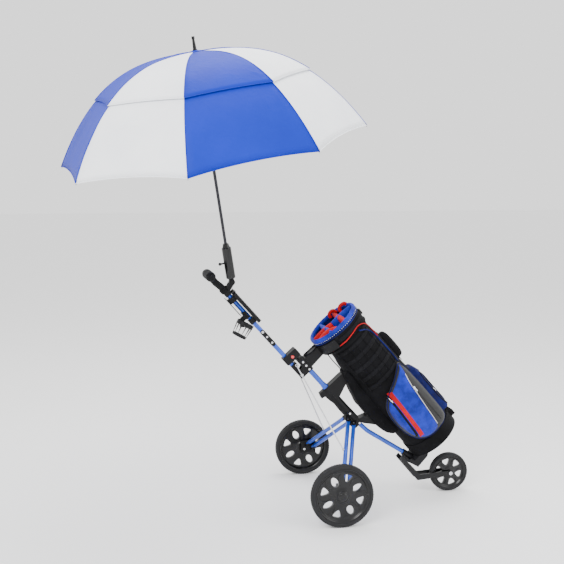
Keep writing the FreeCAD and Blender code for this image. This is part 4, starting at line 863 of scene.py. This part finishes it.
def canopy_height(radius, lift):
    return CANOPY_TOP + lift - CANOPY_DROP * (radius / CANOPY_R) ** CANOPY_CURVE


def canopy_point(panel, share, radius, lift):
    """A point of one panel, pulled straight from rib to rib; share runs across the panel."""
    turns = [RIB_TURN + (panel + k) * 2 * math.pi / RIBS for k in (0, 1)]
    a, b = (Vector((radius * math.cos(turn), radius * math.sin(turn))) for turn in turns)
    flat = a.lerp(b, share)
    sag = PANEL_SAG * math.sin(math.pi * share) * (radius / CANOPY_R) ** 2
    return on_shaft(flat.x, flat.y, canopy_height(radius, lift) - sag)


def hem_radius(share, r_out, pull):
    return r_out * (1 - pull * 4 * share * (1 - share))


def canopy_layer(name, r_in, r_out, lift, rows, across, pull):
    """Eight cloth panels sewn at the ribs; even panels blue and odd panels white."""
    rings = []
    for i in range(rows + 1):
        ring = []
        for panel in range(RIBS):
            for j in range(across):
                share = j / across
                edge = hem_radius(share, r_out, pull)
                radius = r_in + (edge - r_in) * i / rows
                ring.append(canopy_point(panel, share, radius, lift))
        rings.append(ring)
    points = [point for ring in rings for point in ring]
    faces = grid_faces(rows + 1, RIBS * across)
    colour = [(f[0] % (RIBS * across)) // across % 2 for f in faces]
    piece = new_piece(name, points, faces, [PAINT["canopy_blue"], PAINT["canopy_white"]], colour)
    if sum((p.normal.dot(SHAFT_WAY) * p.area for p in piece.data.polygons)) < 0:
        piece.data.flip_normals()
    for vertex in piece.data.vertices:
        vertex.co += vertex.normal * 0.0016 * noise.noise(vertex.co * 7.0)
    area = sum(p.area for p in piece.data.polygons)
    slant = sum((canopy_point(0, 0, r_out * (k + 1) / 40, lift)
                 - canopy_point(0, 0, r_out * k / 40, lift)).length for k in range(40))
    add_modifier(piece, "SOLIDIFY", thickness=CLOTH_THICK, offset=-1)
    settled(piece)
    return riding(piece, "umbrella", "canopy_cloth"), area, 2 * slant


def hem_and_seams(name, r_in, r_out, lift, pull):
    """Rolled hem along each panel's edge and felled seams over the ribs."""
    parts = []
    for panel in range(RIBS):
        paint = PAINT["canopy_white"] if panel % 2 else PAINT["canopy_blue"]
        hem = [canopy_point(panel, j / 24, hem_radius(j / 24, r_out, pull), lift - 0.8) for j in range(25)]
        parts.append(rod("hem", hem, HEM_RADIUS, paint, 8))
        seam = [canopy_point(panel, 0, r_in + (r_out - r_in) * i / 30, lift + 0.4) for i in range(31)]
        parts.append(rod("seam", seam, SEAM_RADIUS, PAINT["canopy_blue"], 8))
    return riding(joined(name, parts), "umbrella", "canopy_cloth")


class CART_OT_umbrella(bpy.types.Operator):
    """Canopy and vent cloth with hems and seams, and the ribs' end caps"""
    bl_idname = "cart.umbrella"
    bl_label = "Umbrella"

    def execute(self, context):
        pull = context.scene.cart_sizes.hem_pull
        for name, node_name, r_in, r_out, lift, rows in (
                ("canopy_panels", "canopy", VENT_IN, CANOPY_R, 0, 18),
                ("vent_panels", "vent_canopy", VENT_HOLE_R, VENT_R, VENT_RISE, 26)):
            piece, area, wide = canopy_layer(name, r_in, r_out, lift, rows, PANEL_STEPS, pull)
            trim = hem_and_seams(name + "_seams", r_in, r_out, lift, pull)
            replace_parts(piece, node_name)
        caps = []
        for rib in range(RIBS):
            turn = RIB_TURN + rib * 2 * math.pi / RIBS
            start, end = (on_shaft(r * math.cos(turn), r * math.sin(turn), canopy_height(r, -5))
                          for r in (CANOPY_R - 24, CANOPY_R))
            caps.append(rod("cap", smooth_path([start, start.lerp(end, 0.5), end], 4),
                            [0.0022] * 5 + [0.0031, 0.0034, 0.0030, 0.0018], PAINT["moulding"], 10))
        riding(joined("rib_caps", caps), "umbrella", "black_plastic")
        crown = lathe("canopy_crown", [(0.009, 0.0085), (0.030, 0.0075), (0.034, 0.0085), (0.030, 0.0100),
                                       (0.016, 0.0125), (0.009, 0.0135)],
                      lambda x, y, z: on_shaft(x / MM, y / MM, CANOPY_TOP + 2 + z / MM),
                      PAINT["canopy_blue"], 48)
        riding(crown, "umbrella", "canopy_cloth")
        return {"FINISHED"}


# ---------------------------------------------------------------- bag shapes
BAG_STATIONS = ((-175, 617, 131, 121), (120, 619, 130, 120), (288, 621, 128, 118), (420, 624, 122, 113),
                (490, 626.5, 114, 105), (506, 626, 114.5, 105.5), (520, 620, 126, 116.5),
                (532, 617, 131, 121), (640, 617, 131, 121))
NEAR = -1
FAR = 1
BODY_AROUND = 144
BODY_ROWS = 96
BODY_WALL = 5.5
BODY_START = 6
COLLAR_FOOT_T = 500
COLLAR_SLACK = 0.35
COLLAR_SEAM_T = 529
STRAP_TURN = 112
STRAP_T = 554
STRAP_TALL = 18
WEB_ROWS = 5
WEB_FOOT_T = 262
WEB_STEP = 54
WEB_TALL = 20
WEB_START_N = 528
WEB_LENGTH = 192
WEB_COLUMNS = 5
WEB_COLUMN_STEP = 44


def bag_section(t):
    """Centre and half widths of the bag at a height along the mast."""
    for low, high in zip(BAG_STATIONS, BAG_STATIONS[1:]):
        if t <= high[0]:
            break
    s = min(1, max(0, (t - low[0]) / (high[0] - low[0])))
    s = s * s * (3 - 2 * s)
    return [a + (b - a) * s for a, b in zip(low[1:], high[1:])]


def on_bag(turn, t, lift=0.0):
    n, half_n, half_y = bag_section(t)
    return mast(n + (half_n + lift) * math.cos(turn), (half_y + lift) * math.sin(turn), t)


def flank_y(n, t, lift=0.0):
    middle, half_n, half_y = bag_section(t)
    share = min(1.0, abs(n - middle) / (half_n + lift))
    return (half_y + lift) * math.sqrt(1 - share * share)


def on_flank(n, t, side, lift=0.0):
    """A point of the bag's skin seen from one side."""
    return mast(n, side * flank_y(n, t, lift), t)


def through(points, steps=6, closed=False):
    """Smooth curve through (n, t) pairs, returned as pairs."""
    path = smooth_path([(n, t, 0) for n, t in points], steps, closed)
    return [(p.x, p.y) for p in path]


def cloth_slab(name, place, rows, columns, thick, material, edge=0.35):
    """A sewn panel over a surface; place(u, v, lift) takes u and v from 0 to 1."""
    def profile(u, v):
        rise = min(1.0, 14 * u, 14 * (1 - u), 14 * v, 14 * (1 - v))
        return thick * (edge + (1 - edge) * math.sin(rise * math.pi / 2))
    top = [place(j / columns, i / rows, profile(j / columns, i / rows))
           for i in range(rows + 1) for j in range(columns + 1)]
    back = [place(j / columns, i / rows, -0.6) for i in range(rows + 1) for j in range(columns + 1)]
    wide, count = columns + 1, (rows + 1) * (columns + 1)
    faces = grid_faces(rows + 1, wide, round_columns=False)
    faces += [tuple(count + k for k in reversed(f)) for f in faces]
    rim = ([(0, j) for j in range(columns)] + [(i, columns) for i in range(rows)]
           + [(rows, j) for j in range(columns, 0, -1)] + [(i, 0) for i in range(rows, 0, -1)])
    for (i, j), (k, m) in zip(rim, rim[1:] + rim[:1]):
        a, b = i * wide + j, k * wide + m
        faces.append((b, a, count + a, count + b))
    return turned_out(new_piece(name, top + back, faces, material))


def cloth_star(name, outline, centre, place, thick, material, rings=14, edge=0.3):
    """A sewn panel with any star-shaped (n, t) outline; place(n, t, lift) gives the surface."""
    count = len(outline)
    top, back = [], []
    for i in range(1, rings + 1):
        share = i / rings
        rise = min(1.0, 9 * (1 - share))
        lift = thick * (edge + (1 - edge) * math.sin(rise * math.pi / 2))
        for n, t in outline:
            at = (centre[0] + (n - centre[0]) * share, centre[1] + (t - centre[1]) * share)
            top.append(place(*at, lift))
            back.append(place(*at, -0.8))
    total = rings * count
    faces = grid_faces(rings, count)
    faces += [tuple(total + k for k in reversed(f)) for f in faces]
    last = (rings - 1) * count
    faces += [(last + j, last + (j + 1) % count, total + last + (j + 1) % count, total + last + j)
              for j in range(count)]
    points = top + back + [place(*centre, thick), place(*centre, -0.8)]
    faces += [(j, (j + 1) % count, 2 * total) for j in range(count)]
    faces += [(total + j, total + (j + 1) % count, 2 * total + 1) for j in range(count)]
    return turned_out(new_piece(name, points, faces, material))


def bag_piece(piece, slot="bag_black", stands_for=None):
    """Put a piece on the bag, with the node it stands for."""
    riding(piece, "frame", slot)
    if stands_for is not None:
        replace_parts(piece, stands_for)
    return piece


def piping(name, points, paint, slot="bag_black", radius=None):
    """Round sewn piping along world points."""
    radius = radius or bpy.context.scene.cart_sizes.piping
    bag_piece(rod(name, points, radius, PAINT[paint], 10), slot)


# ---------------------------------------------------------------- bag body and mouth
class CART_OT_bag_body(bpy.types.Operator):
    """Bag body with its creases, collar, webbing and trims"""
    bl_idname = "cart.bag_body"
    bl_label = "Bag body"

    def execute(self, context):
        depth = context.scene.cart_sizes.wrinkle
        foot = BASE_T + BODY_START
        heights = [foot + (RIM_T - BASE_T - BODY_START) * i / BODY_ROWS for i in range(BODY_ROWS + 1)]
        rings = [[on_bag(a, t) for a in turns(BODY_AROUND)] for t in heights]
        rings += [[on_bag(a, t, -BODY_WALL) for a in turns(BODY_AROUND)] for t in reversed(heights[4::4])]
        body = loft("bag_body", rings, [PAINT["bag_black"], PAINT["lining"]])
        outer = len(heights) * BODY_AROUND
        for polygon in body.data.polygons:
            polygon.material_index = int(min(polygon.vertices) >= outer - BODY_AROUND
                                         and max(polygon.vertices) >= outer)
        for vertex in body.data.vertices:
            if vertex.index < outer:
                where = vertex.co
                t = (where.x * ALONG.x + where.z * ALONG.z) / MM
                slack = 1.0 if t < COLLAR_FOOT_T else COLLAR_SLACK
                fold = noise.noise(Vector((where.x * 9, where.y * 13, where.z * 9)))
                long_fold = noise.noise(Vector((where.x * 4 + 3, where.y * 5, where.z * 4)))
                sag = min(0.0, fold) * 1.4 + min(0.0, long_fold) * 1.6 + 0.25 * fold
                vertex.co += vertex.normal * depth * slack * sag
        body.data.update()
        bag_piece(body, stands_for="bag_shell")
        self.trims()
        self.webbing()
        return {"FINISHED"}

    def trims(self):
        shoulder = through([(522, 539), (560, 541), (600, 542), (646, 548), (686, 551), (716, 534),
                            (731, 506), (735, 470), (734, 430)], 6)
        edge = through([(676, 533), (706, 502), (722, 470), (727, 423), (728, 337), (724, 272)], 6)
        for side, word in ((NEAR, "near"), (FAR, "far")):
            piping("shoulder_piping_" + word, [on_flank(n, t, side, 2.0) for n, t in shoulder],
                   "bag_red", "bag_red")
            piping("edge_trim_" + word, [on_flank(n, t, side, 1.6) for n, t in edge], "bag_navy",
                   "bag_blue", 0.0036)
            spine = through([(500, 528), (497, 470), (499, 380), (500, 300)], 6)
            piping("spine_seam_" + word, [on_flank(n, t, side, 1.0) for n, t in spine], "webbing")
            for shift in (6.5, -6.5):
                row = [on_flank(n, t + shift, side, 1.2) for n, t in shoulder[:34]]
                stitched("shoulder_stitch_" + word + ("_a" if shift > 0 else "_b"), row, "webbing")
        joint = [on_bag(math.radians(a), COLLAR_SEAM_T, 1.2) for a in range(-180, 180, 4)]
        bag_piece(rod("collar_seam", joint, 0.0022, PAINT["bag_black"], 8, closed=True))

        def band(u, v, lift):
            return on_bag(math.radians(STRAP_TURN * (2 * v - 1)), STRAP_T + STRAP_TALL * u, 1.6 + lift)
        bag_piece(cloth_slab("bag_strap_band", band, 40, 6, 2.2, PAINT["webbing"]), stands_for="bag_strap")
        buckle = []
        for low, high, thick in ((-7, 7, 6.0), (-4, 4, 7.5)):
            def plate(u, v, lift, low=low, high=high):
                return on_bag(math.radians(low + (high - low) * v), 549 + 28 * u, 3.6 + lift)
            buckle.append(cloth_slab("plate", plate, 10, 8, thick, PAINT["moulding"], 0.5))
        bag_piece(joined("strap_buckle", buckle), "black_plastic")

        def loop_panel(u, v, lift):
            return on_flank(506 + 72 * u, 552 + 46 * v + 4 * u, NEAR, lift)
        bag_piece(cloth_slab("loop_panel", loop_panel, 16, 20, 1.8, PAINT["webbing"]))
        corners = [(0.03, 0.04), (0.97, 0.04), (0.97, 0.96), (0.03, 0.96), (0.03, 0.04)]
        path = []
        for (a, b), (c, d) in zip(corners, corners[1:]):
            path += [loop_panel(a + (c - a) * s / 12, b + (d - b) * s / 12, 1.9) for s in range(12)]
        stitched("loop_panel_stitch", path, "casting", 0.006, 0.004, 0.0007)

    def webbing(self):
        """Rows of webbing over padded cells on both flanks of the body."""
        for side, word in ((NEAR, "near"), (FAR, "far")):
            parts, seams = [], []
            for row in range(WEB_ROWS):
                level = WEB_FOOT_T + WEB_STEP * row

                def band(u, v, lift, level=level):
                    n = WEB_START_N + WEB_LENGTH * v
                    return on_flank(n, level + WEB_TALL * u + 0.05 * (n - 545), side, 0.8 + lift)
                parts.append(cloth_slab("row", band, 28, 4, 2.2, PAINT["webbing"]))
            for column in range(WEB_COLUMNS):
                n = WEB_START_N + 4 + WEB_COLUMN_STEP * column
                path = [on_flank(n, t, side, 2.4) for t in range(252, 510, 6)]
                seams.append(rod("column", path, 0.0016, PAINT["bag_black"], 8))
            bag_piece(joined("webbing_rows_" + word, parts))
            bag_piece(joined("webbing_columns_" + word, seams))


def cuff_ring(name, lift, t, wide, tall, material, swell=0.05, puckers=36, around=180):
    """A padded roll round the mouth with a pucker at each quilting stitch."""
    rings = []
    for turn in turns(around):
        plump = 1 + swell * (abs(math.sin(puckers * turn / 2)) - 0.7)
        rings.append([on_bag(turn, t + tall * plump * math.sin(a), lift + wide * plump * math.cos(a))
                      for a in turns(18)])
    return loft(name, rings, material, closed=True)


def divider_bar(name, start, end, half, low_t, top_t, material, sag=4.0):
    """A stuffed bar between two (n, y) points, domed on top and pinched at its ends."""
    start, end = Vector(start), Vector(end)
    way = (end - start).normalized()
    across = Vector((-way.y, way.x))
    steps = max(10, int((end - start).length / 8))
    rings = []
    for i in range(steps + 1):
        s = i / steps
        middle = start.lerp(end, s)
        plump = 0.72 + 0.28 * math.sin(math.pi * s) ** 0.5 + 0.03 * math.sin(9 * math.pi * s)
        crown = top_t - sag + sag * math.sin(math.pi * s)
        ring = []
        for a in turns(20):
            spot = middle + across * (half * plump * squared(math.cos(a), 0.8))
            level = (low_t + crown) / 2 + (crown - low_t) / 2 * squared(math.sin(a), 0.6)
            ring.append(mast(spot.x, spot.y, level))
        rings.append(ring)
    return loft(name, rings, material)


CUFF_STITCH_T = 602.0
DIVIDER_DEEP = 32
FINE_VOXEL = 0.005
COARSE_VOXEL = 0.006


class CART_OT_bag_mouth(bpy.types.Operator):
    """Padded cuff, dividers and loops at the bag's mouth"""
    bl_idname = "cart.bag_mouth"
    bl_label = "Bag mouth"

    def execute(self, context):
        top = cuff_ring("cuff_roll", -3.2, 611.5, 8.4, 12.5, PAINT["bag_blue"])
        inflated(top, FINE_VOXEL, 0.003)
        bag_piece(top, "bag_blue", "bag_rim")
        low = cuff_ring("cuff_band", -1.5, 594.5, 6.6, 7.5, PAINT["bag_navy"], 0.03)
        bag_piece(low, "bag_blue")
        dots = [on_bag(math.radians(a), CUFF_STITCH_T, 5.0) for a in range(-180, 181, 3)]
        stitched("cuff_stitch", dots, "canopy_white", 0.0115, 0.0035, 0.0008)
        bars = (("divider_back", (499, 0), (612, 0), 12, "bag_red"),
                ("divider_front", (612, 0), (735, 0), 11, "bag_blue"),
                ("divider_low", (575, -99), (575, 99), 11, "bag_blue"),
                ("divider_high", (659, -99), (659, 99), 11, "bag_red"))
        for name, start, end, half, paint in bars:
            bar = divider_bar(name, start, end, half, RIM_T - DIVIDER_DEEP, MOUTH_T + 1, PAINT[paint])
            inflated(bar, FINE_VOXEL, 0.004)
            bag_piece(bar, paint, "bag_dividers" if name == "divider_back" else None)
        pad = divider_bar("divider_near_pad", (508, -44), (612, -80), 16, MOUTH_T - 44, MOUTH_T + 4,
                          PAINT["bag_red"], 14)
        inflated(pad, FINE_VOXEL, 0.004)
        bag_piece(pad, "bag_red")
        for name, n, y, wide in (("mouth_loop_front", 712, 50, 22), ("mouth_loop_far", 655, 84, 18)):
            path = smooth_path([mast(n - wide, y, MOUTH_T - 14), mast(n - wide * 0.8, y, MOUTH_T + 3),
                                mast(n, y, MOUTH_T + 9), mast(n + wide * 0.8, y, MOUTH_T + 3),
                                mast(n + wide, y, MOUTH_T - 14)], 7)
            bag_piece(rod(name, path, 0.0085, PAINT["bag_red"], 14), "bag_red")
        return {"FINISHED"}


# ---------------------------------------------------------------- pockets and pads
POCKET_MIDDLE = (618, 74)
POCKET_SEAT_Y = 116
POUCH_HALF = 54.5
POUCH_FOOT_T = -98
POUCH_TOP_T = 190
GRAB_N = 757
GRAB_T = 335
GRAB_HALF = (24, 27, 79)
POCKET_EDGE = through([(512, 60), (518, -18), (545, -72), (590, -97), (660, -100), (712, -92), (731, -60),
                       (735, 60), (734, 180), (728, 246), (714, 276), (690, 266), (640, 236),
                       (570, 196), (526, 140)], 7, closed=True)


def edge_share(n, t, outline, middle):
    """How far out a point lies between the middle (0) and the outline (1)."""
    away = Vector((n - middle[0], t - middle[1]))
    if away.length < 0.01:
        return 0.0
    turn = math.atan2(away.y, away.x)
    reach = None
    for a, b in zip(outline, outline[1:] + outline[:1]):
        ta = math.atan2(a[1] - middle[1], a[0] - middle[0])
        tb = math.atan2(b[1] - middle[1], b[0] - middle[0])
        span = (tb - ta + math.pi) % (2 * math.pi) - math.pi
        part = (turn - ta + math.pi) % (2 * math.pi) - math.pi
        if span and 0 <= part / span <= 1:
            hit = Vector(a).lerp(Vector(b), part / span)
            reach = (hit - Vector(middle)).length
            break
    return min(1.0, away.length / reach) if reach else 1.0


def drawn_in(point, share):
    """A point of the pocket's outline, moved towards its middle."""
    return [m + (value - m) * share for value, m in zip(point, POCKET_MIDDLE)]


def stuffed_y(n, t, depth, side):
    """Distance from the bag's middle plane to the face of a stuffed side pocket."""
    share = edge_share(n, t, POCKET_EDGE, POCKET_MIDDLE)
    base = flank_y(n, t)
    top = POCKET_SEAT_Y + depth
    crumple = 2.2 * noise.noise(Vector((n * 0.018, t * 0.018, side * 4.0)))
    crumple += 1.1 * noise.noise(Vector((n * 0.05, t * 0.04, side * 9.0)))
    dome = 3.5 * (1 - share * share)
    rise = (1 - share ** 4) ** 0.55
    return base + (top - base + dome + min(crumple, 1.2)) * rise


def on_pocket(side, depth):
    def place(n, t, lift):
        return mast(n, side * (stuffed_y(n, t, depth, side) + lift), t)
    return place


STRIPE_ROWS = 36
STRIPE_COLUMNS = 5


def along_line(place, start, end, wide):
    """A strip's surface along a line in (n, t), with its width square to the line."""
    start, end = Vector(start), Vector(end)
    way = (end - start).normalized()
    across = Vector((way.y, -way.x))

    def at(u, v, lift):
        spot = start.lerp(end, v) + across * (wide * (u - 0.5))
        return place(spot.x, spot.y, lift)
    return at


def zip_run(name, place, start, end):
    """Black zip tape with a row of small teeth along its middle."""
    at = along_line(place, start, end, 13)
    bag_piece(cloth_slab(name + "_tape", at, STRIPE_ROWS, STRIPE_COLUMNS, 2.6, PAINT["webbing"]))
    line = [at(0.5, k / 60, 2.9) for k in range(61)]
    stitched(name + "_teeth", line, "moulding", 0.0022, 0.0012, 0.0022)


class CART_OT_pockets(bpy.types.Operator):
    """Side pockets, front pouch, grab pad and hip pad"""
    bl_idname = "cart.pockets"
    bl_label = "Pockets and pads"

    def execute(self, context):
        blue_edge = through([(712, 268), (690, 254), (640, 224), (572, 186), (530, 134), (521, 60),
                             (530, -14), (556, -62), (600, -86), (640, -84), (655, -62), (664, 20),
                             (676, 120), (684, 180), (700, 228)], 6, closed=True)
        for side, word, node_name, depth in ((NEAR, "near", "side_pocket_right", 44),
                                             (FAR, "far", "side_pocket_left", 38)):
            place = on_pocket(side, depth)

            def mound(n, t, lift, side=side, place=place):
                return place(n, t, 0) if lift > 0 else on_flank(n, t, side, -1.0)
            bag_piece(cloth_star("pocket_" + word, POCKET_EDGE, POCKET_MIDDLE, mound, 1.0,
                                 PAINT["net"], 26), "bag_black", node_name)
            bag_piece(cloth_star("pocket_panel_" + word, blue_edge, (606, 70), place, 1.8,
                                 PAINT["bag_blue"], 24), "bag_blue")
            gusset = [(700, 232), (688, 190), (680, 130), (668, 30), (658, -64)]
            piping("pocket_piping_" + word, [place(n, t, 2.2) for n, t in through(gusset, 10)], "steel",
                   "bag_black", 0.0017)
            rim = [place(*drawn_in(point, 0.985), 1.0) for point in POCKET_EDGE]
            bag_piece(rod("pocket_rim_" + word, rim, 0.0026, PAINT["bag_navy"], 8, closed=True), "bag_blue")
            at = along_line(place, (585, 206), (566, -60), 23)
            bag_piece(cloth_slab("pocket_stripe_" + word, at, STRIPE_ROWS, STRIPE_COLUMNS, 3.2,
                                 PAINT["bag_red"]), "bag_red")
            for share in (0.1, 0.9):
                row = [at(share, k / 40, 3.4) for k in range(41)]
                stitched("stripe_stitch_%s_%d" % (word, 10 * share), row, "bag_red")
            zip_run("pocket_zip_" + word, place, (567, 196), (548, -48))
            self.zip_tag("zip_tag_" + word, place)
        zip_run("gusset_zip_near", on_pocket(NEAR, 39.5), (687, 172), (687, -60))
        self.pouch()
        self.grab()
        self.hip_pad()
        return {"FINISHED"}

    def zip_tag(self, name, place):
        points = [place(567, 196, 3.6), place(566, 188, 5.4), place(566, 178, 5.8), place(566, 168, 5.0)]
        tag = rod(name, smooth_path(points, 5), [0.0016] * 4 + [0.0024] * 8 + [0.0028] * 4, PAINT["zip"], 8)
        bag_piece(tag, "zip_metal")

    def pouch(self):
        """Front pouch: a stuffed box with rounded corners, a flap and a zip round its edge."""
        middle_t, reach = (POUCH_FOOT_T + POUCH_TOP_T) / 2, (POUCH_TOP_T - POUCH_FOOT_T) / 2
        rings = []
        for i, (n, grow) in enumerate(((700, 0.97), (728, 1.0), (744, 1.0), (757, 0.985), (766, 0.95),
                                       (771, 0.88), (774, 0.76), (775, 0.5), (775.5, 0.2))):
            ring = []
            for a in turns(88):
                y = POUCH_HALF * grow * squared(math.cos(a), 0.36)
                t = middle_t + reach * squared(math.sin(a), 0.30) * (1 - (1 - grow) * 0.4)
                puff = 1.6 * noise.noise(Vector((n * 0.03, y * 0.03, t * 0.02)))
                slope = 9.0 * max(0, (t - 110) / 80) * (i / 8)
                ring.append(mast(n + puff * (0 < i) - slope, y, t))
            rings.append(ring)
        pouch = loft("front_pouch_body", rings, PAINT["bag_navy"])
        inflated(pouch, COARSE_VOXEL, 0.004)
        bag_piece(pouch, "bag_blue", "front_pouch")
        skin = BVHTree.FromObject(pouch, bpy.context.evaluated_depsgraph_get())

        def face(y, t, lift):
            hit = skin.ray_cast(mast(900, y, t), -SQUARE)[0]
            return hit + SQUARE * lift * MM

        def front(u, v, lift):
            return face(-38 + 76 * u, -62 + 190 * v, lift)
        bag_piece(cloth_slab("pouch_panel", front, 30, 14, 2.0, PAINT["bag_black"]))
        loop = through([(-44, -70), (0, -75), (44, -70), (47, 30), (44, 136), (0, 142), (-44, 136),
                        (-47, 30)], 8, closed=True)
        bag_piece(rod("pouch_zip", [face(y, t, 1.0) for y, t in loop], 0.0028, PAINT["webbing"], 8,
                      closed=True))
        tag = [face(-46, 34, 3), face(-46, 24, 5), face(-46, 14, 5)]
        bag_piece(rod("pouch_tag", smooth_path(tag, 4), 0.0022, PAINT["zip"], 8), "zip_metal")

    def grab(self):
        """Padded carrying handle with a sewn patch at both ends."""
        rings = []
        for i in range(33):
            s = math.sin(math.pi * (i / 32 - 0.5)) * 0.9995
            swell = (1 - abs(s) ** 5) ** 0.45
            rings.append([mast(GRAB_N + GRAB_HALF[0] * swell * squared(math.sin(a), 0.6),
                               GRAB_HALF[1] * swell * squared(math.cos(a), 0.6),
                               GRAB_T + GRAB_HALF[2] * s) for a in turns(36)])
        pad = loft("grab_pad", rings, PAINT["bag_black"])
        inflated(pad, FINE_VOXEL, 0.004)
        bag_piece(pad, "bag_black", "grab_handle")
        for word, level in (("low", 244), ("high", 396)):
            def patch(u, v, lift, level=level):
                return on_bag(math.radians(-14 + 28 * v), level + 30 * u, 1.0 + lift)
            bag_piece(cloth_slab("grab_patch_" + word, patch, 14, 10, 2.0, PAINT["webbing"]))

    def hip_pad(self):
        """Quilted pad between the bag and the mast."""
        back = 524
        face = ((2, 466), (30, 453), (62, 445), (150, 444), (232, 445), (300, 463), (360, 479), (400, 489))
        rings = []
        for i in range(45):
            t = 2 + 398 * i / 44
            for (t0, n0), (t1, n1) in zip(face, face[1:]):
                if t <= t1:
                    break
            front = n0 + (n1 - n0) * (t - t0) / (t1 - t0)
            ends = min(1.0, (i + 0.4) / 3, (44.4 - i) / 3)
            quilt = 1.6 * abs(math.sin(math.pi * t / 66))
            ring = []
            middle, half = (front + back) / 2, (back - front) / 2 * (0.8 + 0.2 * ends)
            for a in turns(36):
                u = 63 * (0.9 + 0.1 * ends) * squared(math.cos(a), 0.4)
                v = squared(math.sin(a), 0.7)
                ring.append(mast(middle - v * (half - 1.8 + quilt * (v > 0.3)), u, t))
            rings.append(ring)
        pad = loft("hip_pad", rings, PAINT["bag_black"])
        inflated(pad, COARSE_VOXEL, 0.003)
        bag_piece(pad, "bag_black", "back_pad")


# ---------------------------------------------------------------- handle details
HANDLE_N = 340.0
RIDGE_OUT = 19.0
RIDGES = 20


class CART_OT_handle(bpy.types.Operator):
    """Grip serrations and the saddle's loop"""
    bl_idname = "cart.handle"
    bl_label = "Handle details"

    def execute(self, context):
        foot = mast_span("grip")[0][2] + 13
        start = mast(HANDLE_N, RIDGE_OUT, foot)
        ridge = rod("ridge", [start - ALONG * 0.011, start, start + ALONG * 0.011],
                    [0.0008, 0.0019, 0.0008], PAINT["grip"], 6)
        ring = repeated(ridge, RIDGES, mast(HANDLE_N, 0, foot), ALONG, "grip")
        ring.name = "grip_serrations"
        ring.data.name = ring.name
        riding(ring, "handle_upper", "soft_grip")
        level = mast_span("upper_saddle")[1][2] + 2.5
        cord = [mast(452 + 40 * math.cos(a), -4 + 26 * math.sin(a), level + 3.0 * math.cos(2 * a))
                for a in turns(48)]
        riding(rod("saddle_loop", cord, 0.0042, PAINT["webbing"], closed=True), "frame", "black_plastic")
        return {"FINISHED"}


# ---------------------------------------------------------------- panel and run
STEPS = ("frame", "stage", "wheels", "umbrella", "bag_body", "bag_mouth", "pockets", "handle")


class CART_PT_tools(bpy.types.Panel):
    """Buttons for each part of the golf cart"""
    bl_idname = "CART_PT_tools"
    bl_label = "Golf cart"
    bl_space_type = "VIEW_3D"
    bl_region_type = "UI"
    bl_category = "Golf cart"

    def draw(self, context):
        for step in STEPS:
            self.layout.operator("cart." + step)
        for group in (context.scene.cart_sizes, context.scene.cart_colours):
            for name in group.__annotations__:
                self.layout.prop(group, name)


CLASSES = (CartColours, CartSizes, CART_OT_frame, CART_OT_stage, CART_OT_wheels, CART_OT_umbrella,
           CART_OT_bag_body, CART_OT_bag_mouth, CART_OT_pockets, CART_OT_handle, CART_PT_tools)


def register():
    for made in CLASSES:
        bpy.utils.register_class(made)
    bpy.types.Scene.cart_colours = bpy.props.PointerProperty(type=CartColours)
    bpy.types.Scene.cart_sizes = bpy.props.PointerProperty(type=CartSizes)


def unregister():
    del bpy.types.Scene.cart_sizes
    del bpy.types.Scene.cart_colours
    for made in reversed(CLASSES):
        bpy.utils.unregister_class(made)


def main():
    register()
    for step in STEPS:
        getattr(bpy.ops.cart, step)()


if __name__ == "__main__":
    main()
